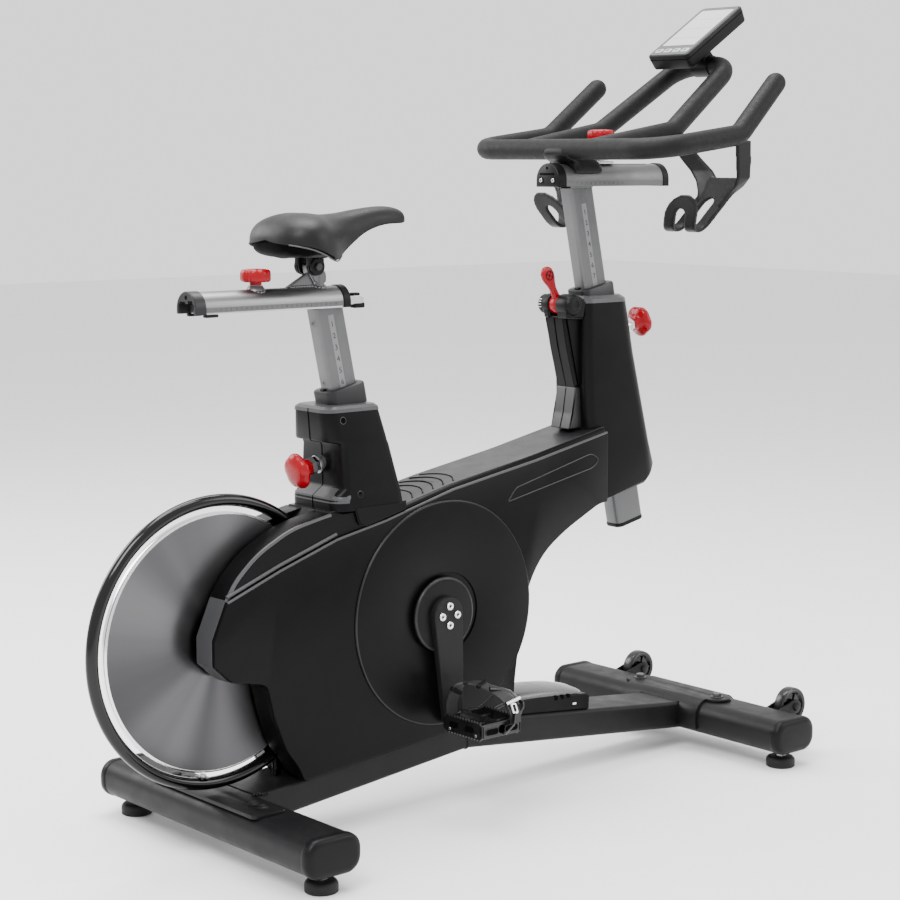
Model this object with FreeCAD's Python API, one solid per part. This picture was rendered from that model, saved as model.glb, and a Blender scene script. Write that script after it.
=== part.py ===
"""Indoor-cycling exercise bike, one STEP file per sub-part.

Units are millimetres.  +X points forward, +Y to the rider's left, +Z up.
While it is being modelled, x is measured from the rear levelling feet; every
sub-part is then moved back by ORIGIN_X, so that the origin lies on the floor
under the middle of the bike.
"""
import FreeCAD
import Part
import math
import os

V = FreeCAD.Vector

# ---------------------------------------------------------------- base
ORIGIN_X = 458.0            # rear feet to the middle of the overall length
WHEELBASE = 1034.0          # rear feet to front feet
FOOT_Y = 255.0              # feet each side of the centre plane
PAD_R = 26.0                # levelling-foot pad
PAD_H = 19.0
STUD_R = 5.0
STAB_W = 100.0              # stabiliser tube, flat-oval section
STAB_H = 60.0
STAB_Z = 31.0               # underside of the stabilisers
STAB_HALF = 276.0           # tube half length, without its end caps
CAP_T = 15.0                # end cap beyond the tube
WALL = 3.0                  # steel tube wall
BEAM_H = 50.0               # base beam section
BEAM_W = 100.0
BEAM_PEAK = (467.0, 140.0)  # x and z of the top of the beam's kink
BEAM_SLOPE = 6.0            # degrees, both ways down from the kink
BEAM_START = 50.5
BEAM_END = 986.0
PLATE_T = 6.0
WHEEL_X = 92.0              # transport wheel ahead of the front feet
WHEEL_Z = 84.0
WHEEL_Y = 195.5
WHEEL_R = 34.0
WHEEL_W = 22.0

# ---------------------------------------------------------------- drive
HUB = (-9.0, 336.5)         # flywheel axle, x and z
FLY_R = 204.0
FLY_T = 14.0
GUARD_R = 225.0             # guard ring, centre line
GUARD_TUBE_R = 10.0
CARRIER_PIN = (240.0, 405.5)    # magnet carrier pivot, x and z
CRANK = (390.0, 338.0)      # crank axle, x and z
CRANK_LEN = 170.0
CRANK_TILT = 4.0            # degrees forward of straight down
CRANK_T = 12.0
CRANK_Y = 80.0              # inner face of the crank arms
DISC_R = 63.0               # round plate behind each crank
BELT_COVER_R = 189.0
DRIVE_R = 128.0             # drive pulley
FLY_PULLEY_R = 32.0         # flywheel pulley, a quarter of the drive pulley
BELT_T = 3.0
BELT_Y0, BELT_Y1 = -48.0, -36.0
AXLE_R = 8.0
SPINDLE_R = 12.5
FIT = 0.05                  # radial clearance of the running fits
PEDAL_Y0, PEDAL_Y1 = 112.0, 208.0
PEDAL_L = 84.0
PEDAL_H = 26.0

# ---------------------------------------------------------------- posts
LEAN = 12.0                 # degrees, both posts lean back
POST_X, POST_Y = 55.0, 30.0
POST_ROUND = 7.0
SLEEVE = 1.5                # gap between post and frame tube
SEAT_TOP = (209.5, 838.0)   # seat post axis where it meets its rail
BAR_TOP = (758.0, 1036.0)   # handlebar post axis where it meets its rail
SEAT_PIN_Z, SEAT_PIN_REACH = 613.0, 87.0     # pull-pin height and grip offset
BAR_PIN_Z, BAR_PIN_REACH = 770.0, 86.0
HOLE_PITCH = 19.0
SHROUD_Y = 66.0
SKIN = 3.0                  # moulded cover thickness
SEAM = 0.05                 # half gap between cover halves

# ---------------------------------------------------------------- saddle
RAIL_W, RAIL_H = 50.0, 33.0     # D-shaped slider section
RAIL_Z = 850.0
SLIDER_X0, SLIDER_X1 = -35.0, 226.0
SADDLE_PIVOT = (178.0, 911.0)

# ---------------------------------------------------------------- handlebar
BAR_R = 16.0
BAR_RAIL_W = 54.0
BAR_RAIL_X0, BAR_RAIL_X1 = 709.0, 948.0
BAR_RAIL_Z = 1036.0
BAR_RAIL_H = 38.0
GRIP_X, GRIP_Z = 724.0, 1101.0  # transverse run of the bar
BAR_HALF = 234.0
CONSOLE_LOW = (980.0, 1266.0)   # lower edge of the display face, x and z
CONSOLE_L, CONSOLE_W, CONSOLE_T = 173.0, 98.0, 30.0
CONSOLE_TILT = 32.5
CONSOLE_PIVOT = (1071.0, 1280.0)
LEVER_HUB = (715.0, 831.0)

NODES = {}


def rad(degrees):
    return math.radians(degrees)


SIN_L, COS_L = math.sin(rad(LEAN)), math.cos(rad(LEAN))


def on_axis(top, z):
    """x of a leaning post's axis at height z."""
    return top[0] + (top[1] - z) * math.tan(rad(LEAN))


# ------------------------------------------------------------ shape helpers
def box(x0, x1, y0, y1, z0, z1):
    return Part.makeBox(x1 - x0, y1 - y0, z1 - z0, V(x0, y0, z0))


def rod(start, end, radius):
    a, b = V(*start), V(*end)
    return Part.makeCylinder(radius, (b - a).Length, a, b - a)


def ring(centre, axis, outer, inner, length):
    """Tube of the given length, centred on its own middle."""
    d = V(*axis).normalize()
    base = V(*centre) - d * (length / 2)
    hole = Part.makeCylinder(inner, length + 2, base - d, d)
    return Part.makeCylinder(outer, length, base, d).cut(hole)


def fuse(shapes):
    body = shapes[0]
    for shape in shapes[1:]:
        body = body.fuse(shape)
    return body.removeSplitter()


def group(shapes):
    return Part.makeCompound(shapes)


def mirror_y(shape):
    return shape.mirror(V(0, 0, 0), V(0, 1, 0))


def both_sides(shape):
    return [shape, mirror_y(shape)]


def polygon(points, y):
    """Closed wire in the plane of constant y through (x, z) points."""
    corners = [V(x, y, z) for x, z in points]
    return Part.makePolygon(corners + corners[:1])


def prism(points, y0, y1):
    return Part.Face(polygon(points, y0)).extrude(V(0, y1 - y0, 0))


def loft(wires):
    return Part.makeLoft(wires, True, True)


def rounded_rect(width, depth, radius):
    """Face centred on the origin in the XY plane."""
    w, d, r = width / 2, depth / 2, radius
    edges = []
    corners = [(w - r, d - r, 0), (r - w, d - r, 90), (r - w, r - d, 180), (w - r, r - d, 270)]
    for i, (cx, cy, turn) in enumerate(corners):
        points = []
        for a in (0, 45, 90):
            points.append(V(cx + r * math.cos(rad(turn + a)), cy + r * math.sin(rad(turn + a)), 0))
        edges.append(Part.Arc(*points).toShape())
        nx, ny, nturn = corners[(i + 1) % 4]
        nxt = V(nx + r * math.cos(rad(nturn)), ny + r * math.sin(rad(nturn)), 0)
        if (nxt - points[2]).Length > 1e-6:
            edges.append(Part.LineSegment(points[2], nxt).toShape())
    return Part.Face(Part.Wire(edges))


def bar(section, start, end):
    """Extrude an XY section from start to end; its x stays in the XZ plane."""
    a, b = V(*start), V(*end)
    length = (b - a).Length
    solid = section.extrude(V(0, 0, length))
    turn = FreeCAD.Rotation(V(0, 0, 1), b - a)
    solid.Placement = FreeCAD.Placement(a, turn)
    return solid


def rect_bar(width, depth, radius, start, end):
    return bar(rounded_rect(width, depth, radius), start, end)


def tube_path(points, bends):
    """Wire of straight runs joined by tangent arcs of the given radii."""
    pts = [V(*p) for p in points]
    edges, last = [], pts[0]
    for i, bend in enumerate(bends, start=1):
        u = (pts[i - 1] - pts[i]).normalize()
        w = (pts[i + 1] - pts[i]).normalize()
        half = u.getAngle(w) / 2
        reach = bend / math.tan(half)
        a, b = pts[i] + u * reach, pts[i] + w * reach
        mid_dir = (u + w).normalize()
        mid = pts[i] + mid_dir * (bend / math.sin(half) - bend)
        if (a - last).Length > 1e-3:
            edges.append(Part.LineSegment(last, a).toShape())
        edges.append(Part.Arc(a, mid, b).toShape())
        last = b
    edges.append(Part.LineSegment(last, pts[-1]).toShape())
    return Part.Wire(edges)


def pipe(path, radius):
    start = path.Edges[0]
    direction = start.tangentAt(start.FirstParameter)
    circle = Part.Wire(Part.makeCircle(radius, start.valueAt(start.FirstParameter), direction))
    return path.makePipeShell([circle], True, False)


def hex_head(centre, axis, across, height):
    """Hexagonal head or nut standing on centre along axis."""
    d = V(*axis).normalize()
    r = across / math.sqrt(3)
    corners = [V(r * math.cos(rad(60 * i)), r * math.sin(rad(60 * i)), 0) for i in range(6)]
    solid = Part.Face(Part.makePolygon(corners + corners[:1])).extrude(V(0, 0, height))
    solid.Placement = FreeCAD.Placement(V(*centre), FreeCAD.Rotation(V(0, 0, 1), d))
    return solid


def oval_section(grow=0.0):
    """Flat-oval stabiliser section, lying in the XZ plane about the origin."""
    face = rounded_rect(STAB_W + 2 * grow, STAB_H + 2 * grow, 25 + grow)
    return face.rotated(V(0, 0, 0), V(1, 0, 0), 90)


def oval_bar(x, y0, y1, grow=0.0):
    face = oval_section(grow).translated(V(x, y0, STAB_Z + STAB_H / 2))
    return face.extrude(V(0, y1 - y0, 0))


# ------------------------------------------------------------------ base
def stabiliser(x):
    """Flat-oval tube with four threaded inserts for its feet and bracket."""
    tube = oval_bar(x, -STAB_HALF, STAB_HALF).cut(oval_bar(x, -STAB_HALF - 1, STAB_HALF + 1, -WALL))
    for y in (-FOOT_Y, FOOT_Y):
        hole = rod((x, y, STAB_Z - 1), (x, y, STAB_Z + 22), STUD_R + FIT)
        insert = rod((x, y, STAB_Z + 0.5), (x, y, STAB_Z + 18), 9)
        tube = tube.fuse(insert).cut(hole)
    return tube


def stabiliser_caps():
    caps = []
    for x in (0, WHEELBASE):
        plug = oval_bar(x, STAB_HALF - 14, STAB_HALF + 1, -WALL - 0.2)
        plug = plug.cut(rod((x, FOOT_Y, 0), (x, FOOT_Y, 60), 15))
        lip = oval_bar(x, STAB_HALF, STAB_HALF + 5, 1)
        dome = loft([
            oval_section(1).translated(V(x, STAB_HALF + 5, STAB_Z + STAB_H / 2)).OuterWire,
            oval_section(-7).translated(V(x, STAB_HALF + CAP_T, STAB_Z + STAB_H / 2)).OuterWire,
        ])
        cap = fuse([plug, lip, dome])
        caps += both_sides(cap)
    return group(caps)


def foot(x, y):
    """Rubber pad moulded on a threaded stud, with its lock nut."""
    pad = rod((x, y, 0), (x, y, PAD_H - 4), PAD_R)
    crown = Part.makeCone(PAD_R, PAD_R - 4, 4, V(x, y, PAD_H - 4))
    stud = rod((x, y, 8), (x, y, STAB_Z + 17), STUD_R)
    nut = hex_head((x, y, PAD_H), (0, 0, 1), 17, 7)
    return fuse([pad, crown, nut, stud])


def beam_top(x):
    return BEAM_PEAK[1] - abs(x - BEAM_PEAK[0]) * math.tan(rad(BEAM_SLOPE))


def beam_run(x0, x1, inset):
    """Straight length of the beam, its section shrunk by inset."""
    y = BEAM_W / 2 - inset
    top, low = -inset, -BEAM_H + inset
    under = [(x0, beam_top(x0) + low), (x1, beam_top(x1) + low)]
    return prism(under + [(x1, beam_top(x1) + top), (x0, beam_top(x0) + top)], -y, y)


def base_beams():
    """Two box tubes, mitred and welded at the kink."""
    stab_clear = [oval_bar(x, -BEAM_W, BEAM_W, 0.1) for x in (0, WHEELBASE)]
    beams = []
    for x0, x1 in ((28.0, BEAM_PEAK[0]), (BEAM_PEAK[0], WHEELBASE - 28.0)):
        run = beam_run(x0, x1, 0).cut(beam_run(x0 - 1, x1 + 1, WALL))
        for tube in stab_clear:
            run = run.cut(tube)
        beams.append(max(run.Solids, key=lambda s: s.Volume))
    return group(beams)


def front_sleeve():
    """Saddle bracket welded round the front stabiliser."""
    low = STAB_Z
    sleeve = oval_bar(WHEELBASE, -96, 96, 5)
    ends = []
    for side in (-1, 1):
        tongue = rod((WHEELBASE, side * 99, STAB_Z + STAB_H), (WHEELBASE, side * 99, STAB_Z + STAB_H + 5), 26)
        ends.append(tongue)
    solid = fuse([sleeve] + ends)
    solid = solid.cut(oval_bar(WHEELBASE, -140, 140, 0.1))
    solid = solid.cut(beam_run(900, WHEELBASE, -0.1))
    solid = solid.cut(box(900, 1200, -140, 140, 0, low + 12))
    for side in (-1, 1):
        solid = solid.cut(rod((WHEELBASE, side * 99, 80), (WHEELBASE, side * 99, 110), 5.2))
    return solid


def rear_plate():
    """Flat plate bolted on the rear stabiliser; the beam is welded to it."""
    top = STAB_Z + STAB_H
    face = rounded_rect(62, 290, 10).translated(V(-12, 0, top))
    plate = face.extrude(V(0, 0, PLATE_T))
    for y in (-120, -95, 95, 120):
        plate = plate.cut(rod((-8, y, top - 1), (-8, y, top + 10), 5.2))
    return plate.cut(beam_run(0, 200, -0.1))


def wheel_fork(side):
    """Two curved cheeks and the axle pin of a transport wheel."""
    xa = WHEELBASE + 42
    xw = WHEELBASE + WHEEL_X
    cheeks = []
    for offset in (-WHEEL_W / 2 - 5, WHEEL_W / 2 + 2):
        y = side * WHEEL_Y + offset
        arm = [(xa, 55), (xa, 84), (xw - 6, WHEEL_Z + 13), (xw + 6, WHEEL_Z + 4), (xw + 4, WHEEL_Z - 10)]
        eye = rod((xw, y, WHEEL_Z), (xw, y + 3, WHEEL_Z), 13)
        cheeks.append(prism(arm, y, y + 3).fuse(eye))
    y0, y1 = side * WHEEL_Y - WHEEL_W / 2 - 8, side * WHEEL_Y + WHEEL_W / 2 + 8
    pin = rod((xw, y0, WHEEL_Z), (xw, y1, WHEEL_Z), 5)
    head = hex_head((xw, y0 + 3, WHEEL_Z), (0, -1, 0), 14, 4)
    nut = hex_head((xw, y1 - 3, WHEEL_Z), (0, 1, 0), 14, 5)
    fork = fuse(cheeks + [pin, head, nut])
    return fork.cut(oval_bar(WHEELBASE, -STAB_HALF, STAB_HALF, 0))


def base_brackets():
    return group([rear_plate(), front_sleeve(), wheel_fork(-1), wheel_fork(1)])


def base_bolts():
    """Cap bolts of the rear plate and the front sleeve."""
    bolts = []
    for y in (-120, -95, 95, 120):
        z = STAB_Z + STAB_H + PLATE_T
        head = rod((-8, y, z), (-8, y, z + 4), 8)
        bolts.append(head.fuse(rod((-8, y, z - PLATE_T), (-8, y, z), 5)))
    for side in (-1, 1):
        z = STAB_Z + STAB_H + 5
        head = hex_head((WHEELBASE, side * 99, z + 2), (0, 0, 1), 15, 6)
        washer = rod((WHEELBASE, side * 99, z), (WHEELBASE, side * 99, z + 2), 10)
        bolts.append(fuse([head, washer, rod((WHEELBASE, side * 99, z - 5), (WHEELBASE, side * 99, z), 5)]))
    return group(bolts)


def transport_wheel(side):
    """Roller with a soft tread groove, turning on the fork's pin."""
    centre = (WHEELBASE + WHEEL_X, side * WHEEL_Y, WHEEL_Z)
    wheel = ring(centre, (0, 1, 0), WHEEL_R, 5 + FIT, WHEEL_W)
    for offset in (-WHEEL_W / 2, WHEEL_W / 2):
        wheel = wheel.cut(ring((centre[0], centre[1] + offset, centre[2]), (0, 1, 0), WHEEL_R - 9, 11, 6))
    return wheel


# ------------------------------------------------------------- inner frame
def frame_tube(top, z0, z1):
    """Leaning rectangular tube that a post slides in."""
    a = (on_axis(top, z0), 0, z0)
    b = (on_axis(top, z1), 0, z1)
    gap = 2 * SLEEVE
    outer = rect_bar(POST_X + gap + 2 * WALL, POST_Y + gap + 2 * WALL, POST_ROUND + SLEEVE + WALL, a, b)
    inner = rect_bar(POST_X + gap, POST_Y + gap, POST_ROUND + SLEEVE, a, b)
    return outer.cut(inner)


def pin_axis(top, z, forward):
    """Start point on the post's axis and direction of a pull pin."""
    d = V(COS_L, 0, SIN_L) * (1 if forward else -1)
    return V(on_axis(top, z), 0, z), d


def pin_socket(top, z, forward, reach):
    p, d = pin_axis(top, z, forward)
    face = POST_X / 2 + SLEEVE + WALL
    barrel = Part.makeCylinder(11, reach - face + 1, p + d * (face - 1), d)
    collar = hex_head(tuple(p + d * (reach - 8)), tuple(d), 26, 8)
    bore = Part.makeCylinder(6, reach - POST_X / 2 + 4, p + d * (POST_X / 2 - 1), d)
    return barrel.fuse(collar), bore


def seat_tube():
    tube = frame_tube(SEAT_TOP, 405, 704)
    socket, bore = pin_socket(SEAT_TOP, SEAT_PIN_Z, False, SEAT_PIN_REACH - 1)
    return fuse([tube, socket]).cut(bore)


def head_tube():
    tube = frame_tube(BAR_TOP, 437, 836)
    socket, bore = pin_socket(BAR_TOP, BAR_PIN_Z, True, BAR_PIN_REACH - 1)
    cap = rect_bar(70, 45, 12, (on_axis(BAR_TOP, 437), 0, 437), (on_axis(BAR_TOP, 428), 0, 428))
    return fuse([tube, socket, cap]).cut(bore)


def spine_point(x):
    """Centre height of the spine tube at x."""
    return 478.0 + (x - 285.0) * 0.155


def frame_tubes():
    """Spine, two struts, bottom bracket shell and flywheel carrier plates."""
    x0, x1 = 262.0, 862.0
    z0, z1 = spine_point(x0), spine_point(x1)
    spine = prism([(x0, z0 - 32), (x1, z1 - 32), (x1, z1 + 32), (x0, z0 + 32)], -22, 22)
    core = [(x0 - 1, z0 - 29), (x1 + 1, z1 - 29), (x1 + 1, z1 + 29), (x0 - 1, z0 + 29)]
    spine = spine.cut(prism(core, -19, 19))
    strut = prism([(360, beam_top(360) + 0.1), (420, beam_top(420) + 0.1), (412, 325), (368, 325)], -24, 24)
    front = prism([(495, beam_top(495) + 0.1), (545, beam_top(545) + 0.1), (640, 500), (590, 500)], -20, 20)
    riser = prism([(372, 340), (408, 340), (408, 470), (372, 470)], -20, 20)
    shell = rod((CRANK[0], -34, CRANK[1]), (CRANK[0], 34, CRANK[1]), 27)
    cross = box(212, 240, -58, 58, 446, 480)
    gusset = box(238, 275, -16, 16, 440, 486)
    body = fuse([spine, strut, front, riser, shell, cross, gusset])
    for side in (-1, 1):
        y0, y1 = sorted((side * 53, side * 58))
        hub_end = rod((HUB[0], y0, HUB[1]), (HUB[0], y1, HUB[1]), 28)
        up = rod((226, y0, 463), (226, y1, 463), 20)
        web = prism([(HUB[0] - 12, HUB[1] + 25), (HUB[0] + 12, HUB[1] - 25), (238, 447), (214, 479)], y0, y1)
        body = fuse([body, hub_end, up, web])
    ear = box(232, 300, -8, 8, 395, 416)
    body = body.fuse(ear)
    for top in (SEAT_TOP, BAR_TOP):
        a = (on_axis(top, 380), 0, 380)
        b = (on_axis(top, 700), 0, 700)
        grow = 2 * SLEEVE + 2 * WALL
        body = body.cut(rect_bar(POST_X + grow, POST_Y + grow, 11.5, a, b))
    body = body.cut(rod((CRANK[0], -40, CRANK[1]), (CRANK[0], 40, CRANK[1]), 21))
    body = body.cut(rod((HUB[0], -60, HUB[1]), (HUB[0], 60, HUB[1]), AXLE_R))
    px, pz = CARRIER_PIN
    return body.cut(rod((px, -10, pz), (px, 10, pz), 4 + FIT))


def magnet_carrier():
    """Fork of magnets that straddles the flywheel's rim, on its pivot pin."""
    px, pz = CARRIER_PIN
    parts = [rod((px, -15, pz), (px, 15, pz), 4)]
    for side in (-1, 1):
        y0, y1 = sorted((side * 9.5, side * 13.5))
        arm = [(165, 405), (180, 452), (205, 445), (px + 6, pz + 8), (px + 6, pz - 8), (190, 395)]
        parts.append(prism(arm, y0, y1))
    bridge = box(216, 228, -13.5, 13.5, 403, 430)
    parts.append(bridge)
    for side in (-1, 1):
        for px2, pz2 in ((178, 412), (187, 436)):
            y0, y1 = sorted((side * 8.2, side * 9.6))
            parts.append(rod((px2, y0, pz2), (px2, y1, pz2), 9))
    return fuse(parts)


def guard_ring():
    """Round-tube hoop round the flywheel's open side."""
    start, end = 48.0, 300.0
    centre = V(HUB[0], 0, HUB[1])
    first = centre + V(GUARD_R * math.cos(rad(start)), 0, GUARD_R * math.sin(rad(start)))
    along = V(-math.sin(rad(start)), 0, math.cos(rad(start)))
    disc = Part.Face(Part.Wire(Part.makeCircle(GUARD_TUBE_R, first, along)))
    hoop = disc.revolve(centre, V(0, -1, 0), end - start)
    lug = box(94, 112, -5, 5, beam_top(112) + 0.3, 150)
    return fuse([hoop, lug])


# ------------------------------------------------------------------- drive
def flywheel():
    """Steel disc, bevelled and grooved rim, bored for the hub."""
    h = FLY_T / 2
    profile = [(22, -h + 2), (FLY_R - 20, -h + 2), (FLY_R - 17, -h), (FLY_R - 6, -h), (FLY_R, -h + 4),
               (FLY_R, h - 4), (FLY_R - 6, h), (FLY_R - 17, h), (FLY_R - 20, h - 2), (22, h - 2)]
    corners = [V(HUB[0] + r, y, HUB[1]) for r, y in profile]
    face = Part.Face(Part.makePolygon(corners + corners[:1]))
    return face.revolve(V(HUB[0], 0, HUB[1]), V(0, 1, 0), 360)


def flywheel_pulley():
    """Hub with the small grooved pulley on its right end."""
    hub = ring((HUB[0], 0, HUB[1]), (0, 1, 0), 22, 13, 30)
    neck = ring((HUB[0], -25.5, HUB[1]), (0, 1, 0), 20, 13, 21)
    left = ring((HUB[0], 25, HUB[1]), (0, 1, 0), 20, 13, 20)
    middle = (BELT_Y0 + BELT_Y1) / 2
    drum = ring((HUB[0], middle, HUB[1]), (0, 1, 0), FLY_PULLEY_R - BELT_T, 13, BELT_Y1 - BELT_Y0)
    rims = []
    for y in (BELT_Y0 - 0.75, BELT_Y1 + 0.75):
        rims.append(ring((HUB[0], y, HUB[1]), (0, 1, 0), FLY_PULLEY_R + 2, 13, 1.5))
    return fuse([hub, neck, left, drum] + rims)


def bearing(x, y, z, outer, inner, width):
    """Outer race, inner race and a ring of balls."""
    wall = (outer - inner) * 0.28
    races = [ring((x, y, z), (0, 1, 0), outer, outer - wall, width)]
    races.append(ring((x, y, z), (0, 1, 0), inner + wall, inner, width))
    mid = (outer + inner) / 2
    ball_r = (outer - inner) / 2 - wall
    count = int(2 * math.pi * mid / (ball_r * 2.6))
    for i in range(count):
        turn = 2 * math.pi * i / count
        races.append(Part.makeSphere(ball_r, V(x + mid * math.cos(turn), y, z + mid * math.sin(turn))))
    return races


def flywheel_bearings():
    pair = []
    for y in (-20, 20):
        pair += bearing(HUB[0], y, HUB[1], 13, AXLE_R + FIT, 9)
    return group(pair)


def crank_bearings():
    pair = []
    for y in (-26, 26):
        pair += bearing(CRANK[0], y, CRANK[1], 21, SPINDLE_R + FIT, 10)
    return group(pair)


def flywheel_axle():
    """Fixed axle with its two nuts on the carrier plates."""
    axle = rod((HUB[0], -62, HUB[1]), (HUB[0], 62, HUB[1]), AXLE_R)
    nuts = []
    for side in (-1, 1):
        outer = hex_head((HUB[0], side * 58, HUB[1]), (0, side, 0), 24, 4.5)
        inner = ring((HUB[0], side * 51.3, HUB[1]), (0, 1, 0), 12, AXLE_R, 3)
        nuts += [outer, inner]
    return fuse([axle] + nuts)


def belt_line(radius_a, radius_b):
    """Closed wire round both pulleys at y = 0, for the given radii."""
    span = math.hypot(CRANK[0] - HUB[0], CRANK[1] - HUB[1])
    base = math.atan2(CRANK[1] - HUB[1], CRANK[0] - HUB[0])
    lift = math.acos((radius_b - radius_a) / span)
    up, down = base + math.pi - lift, base + math.pi + lift

    def at(centre, radius, angle):
        return V(centre[0] + radius * math.cos(angle), 0, centre[1] + radius * math.sin(angle))

    edges = [
        Part.LineSegment(at(CRANK, radius_b, up), at(HUB, radius_a, up)).toShape(),
        Part.Arc(at(HUB, radius_a, up), at(HUB, radius_a, base + math.pi), at(HUB, radius_a, down)).toShape(),
        Part.LineSegment(at(HUB, radius_a, down), at(CRANK, radius_b, down)).toShape(),
        Part.Arc(at(CRANK, radius_b, down), at(CRANK, radius_b, base), at(CRANK, radius_b, up)).toShape(),
    ]
    return Part.Wire(edges)


def drive_belt():
    outer = Part.Face(belt_line(FLY_PULLEY_R + 0.3, DRIVE_R + 0.3)).extrude(V(0, BELT_Y1 - BELT_Y0, 0))
    inner = Part.Face(belt_line(FLY_PULLEY_R - BELT_T + 0.3, DRIVE_R - BELT_T + 0.3)).extrude(V(0, 20, 0))
    return outer.cut(inner.translated(V(0, -2, 0))).translated(V(0, BELT_Y0, 0))


def drive_pulley():
    """Spoked wheel carrying the belt."""
    y = (BELT_Y0 + BELT_Y1) / 2
    rim = ring((CRANK[0], y, CRANK[1]), (0, 1, 0), DRIVE_R - BELT_T, DRIVE_R - 16, 12)
    lips = []
    for edge in (BELT_Y0 - 0.75, BELT_Y1 + 0.75):
        lips.append(ring((CRANK[0], edge, CRANK[1]), (0, 1, 0), DRIVE_R + 3, DRIVE_R - 16, 1.5))
    boss = ring((CRANK[0], y, CRANK[1]), (0, 1, 0), 30, SPINDLE_R, 12)
    disc = ring((CRANK[0], y, CRANK[1]), (0, 1, 0), DRIVE_R - 15, 29, 4)
    for i in range(6):
        turn = rad(60 * i)
        hole_x = CRANK[0] + 72 * math.cos(turn)
        hole_z = CRANK[1] + 72 * math.sin(turn)
        disc = disc.cut(rod((hole_x, y - 5, hole_z), (hole_x, y + 5, hole_z), 24))
    return fuse([rim, boss, disc] + lips)


def crank_spindle():
    return rod((CRANK[0], -CRANK_Y, CRANK[1]), (CRANK[0], CRANK_Y, CRANK[1]), SPINDLE_R)


def crank_end(side):
    """Pedal-axle centre of the crank on the given side (-1 is right, down)."""
    reach = side * CRANK_LEN
    return CRANK[0] - reach * math.sin(rad(CRANK_TILT)), CRANK[1] + reach * math.cos(rad(CRANK_TILT))


def crank(side):
    """Disc plate and tapered arm."""
    ex, ez = crank_end(side)
    y0, y1 = sorted((side * CRANK_Y, side * (CRANK_Y + CRANK_T)))
    ux, uz = (ex - CRANK[0]) / CRANK_LEN, (ez - CRANK[1]) / CRANK_LEN
    top = rod((CRANK[0], y0, CRANK[1]), (CRANK[0], y1, CRANK[1]), 27)
    low = rod((ex, y0, ez), (ex, y1, ez), 17)
    sides = []
    for point, half in ((CRANK, 26), ((ex, ez), 16.5)):
        dx, dz = uz * half, ux * half
        sides.append([(point[0] - dx, point[1] + dz), (point[0] + dx, point[1] - dz)])
    web = prism([sides[0][0], sides[0][1], sides[1][1], sides[1][0]], y0, y1)
    d0, d1 = sorted((side * (CRANK_Y - 6), side * CRANK_Y))
    disc = rod((CRANK[0], d0, CRANK[1]), (CRANK[0], d1, CRANK[1]), DISC_R)
    arm = fuse([top, low, web, disc])
    arm = arm.cut(rod((CRANK[0], -100, CRANK[1]), (CRANK[0], 100, CRANK[1]), SPINDLE_R))
    plug_end = side * (CRANK_Y + CRANK_T - 1)
    plug = rod((CRANK[0], side * CRANK_Y, CRANK[1]), (CRANK[0], plug_end, CRANK[1]), SPINDLE_R)
    arm = arm.fuse(plug)
    end = side * (PEDAL_Y1 - 14)
    axle = rod((ex, side * (CRANK_Y + 2), ez), (ex, end, ez), 6)
    flange = rod((ex, side * (CRANK_Y + CRANK_T), ez), (ex, side * (CRANK_Y + CRANK_T + 6), ez), 9)
    arm = fuse([arm, axle, flange])
    for i in range(4):
        bx = CRANK[0] + 16 * math.cos(rad(90 * i))
        bz = CRANK[1] + 16 * math.sin(rad(90 * i))
        arm = arm.cut(rod((bx, side * (CRANK_Y + 2), bz), (bx, side * (CRANK_Y + CRANK_T + 1), bz), 4))
    return arm


def crank_bolts():
    bolts = []
    for side in (-1, 1):
        for i in range(4):
            bx = CRANK[0] + 16 * math.cos(rad(90 * i))
            bz = CRANK[1] + 16 * math.sin(rad(90 * i))
            face = side * (CRANK_Y + CRANK_T)
            shank = rod((bx, side * (CRANK_Y + 2), bz), (bx, face, bz), 4)
            head = rod((bx, face, bz), (bx, face + side * 3.5, bz), 6.5)
            socket = hex_head((bx, face + side * 1.5, bz), (0, side, 0), 6, 5)
            bolts.append(shank.fuse(head).cut(socket))
    return group(bolts)


def pedal(side):
    """Cage pedal: axle barrel, end plates and two toothed side plates."""
    cx, cz = crank_end(side)
    h = PEDAL_H / 2
    y0, y1 = sorted((side * PEDAL_Y0, side * PEDAL_Y1))
    barrel = rod((cx, y0, cz), (cx, y1, cz), 14)
    plates = [barrel]
    for front in (-1, 1):
        x0, x1 = sorted((cx + front * PEDAL_L / 2, cx + front * (PEDAL_L / 2 - 4)))
        plates.append(box(x0, x1, y0, y1, cz - h, cz + h))
        for i in range(7):
            ty = y0 + 8 + i * (y1 - y0 - 16) / 6
            plates.append(box(x0, x1, ty - 3, ty + 3, cz + h - 1, cz + h + 3))
            plates.append(box(x0, x1, ty - 3, ty + 3, cz - h - 3, cz - h + 1))
    for y in (y0, y1 - 6):
        plates.append(box(cx - PEDAL_L / 2, cx + PEDAL_L / 2, y, y + 6, cz - h, cz + h))
    body = fuse(plates)
    y_in = side * (PEDAL_Y0 - 1)
    return body.cut(rod((cx, y_in, cz), (cx, side * (PEDAL_Y1 - 13), cz), 6 + FIT))


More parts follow.
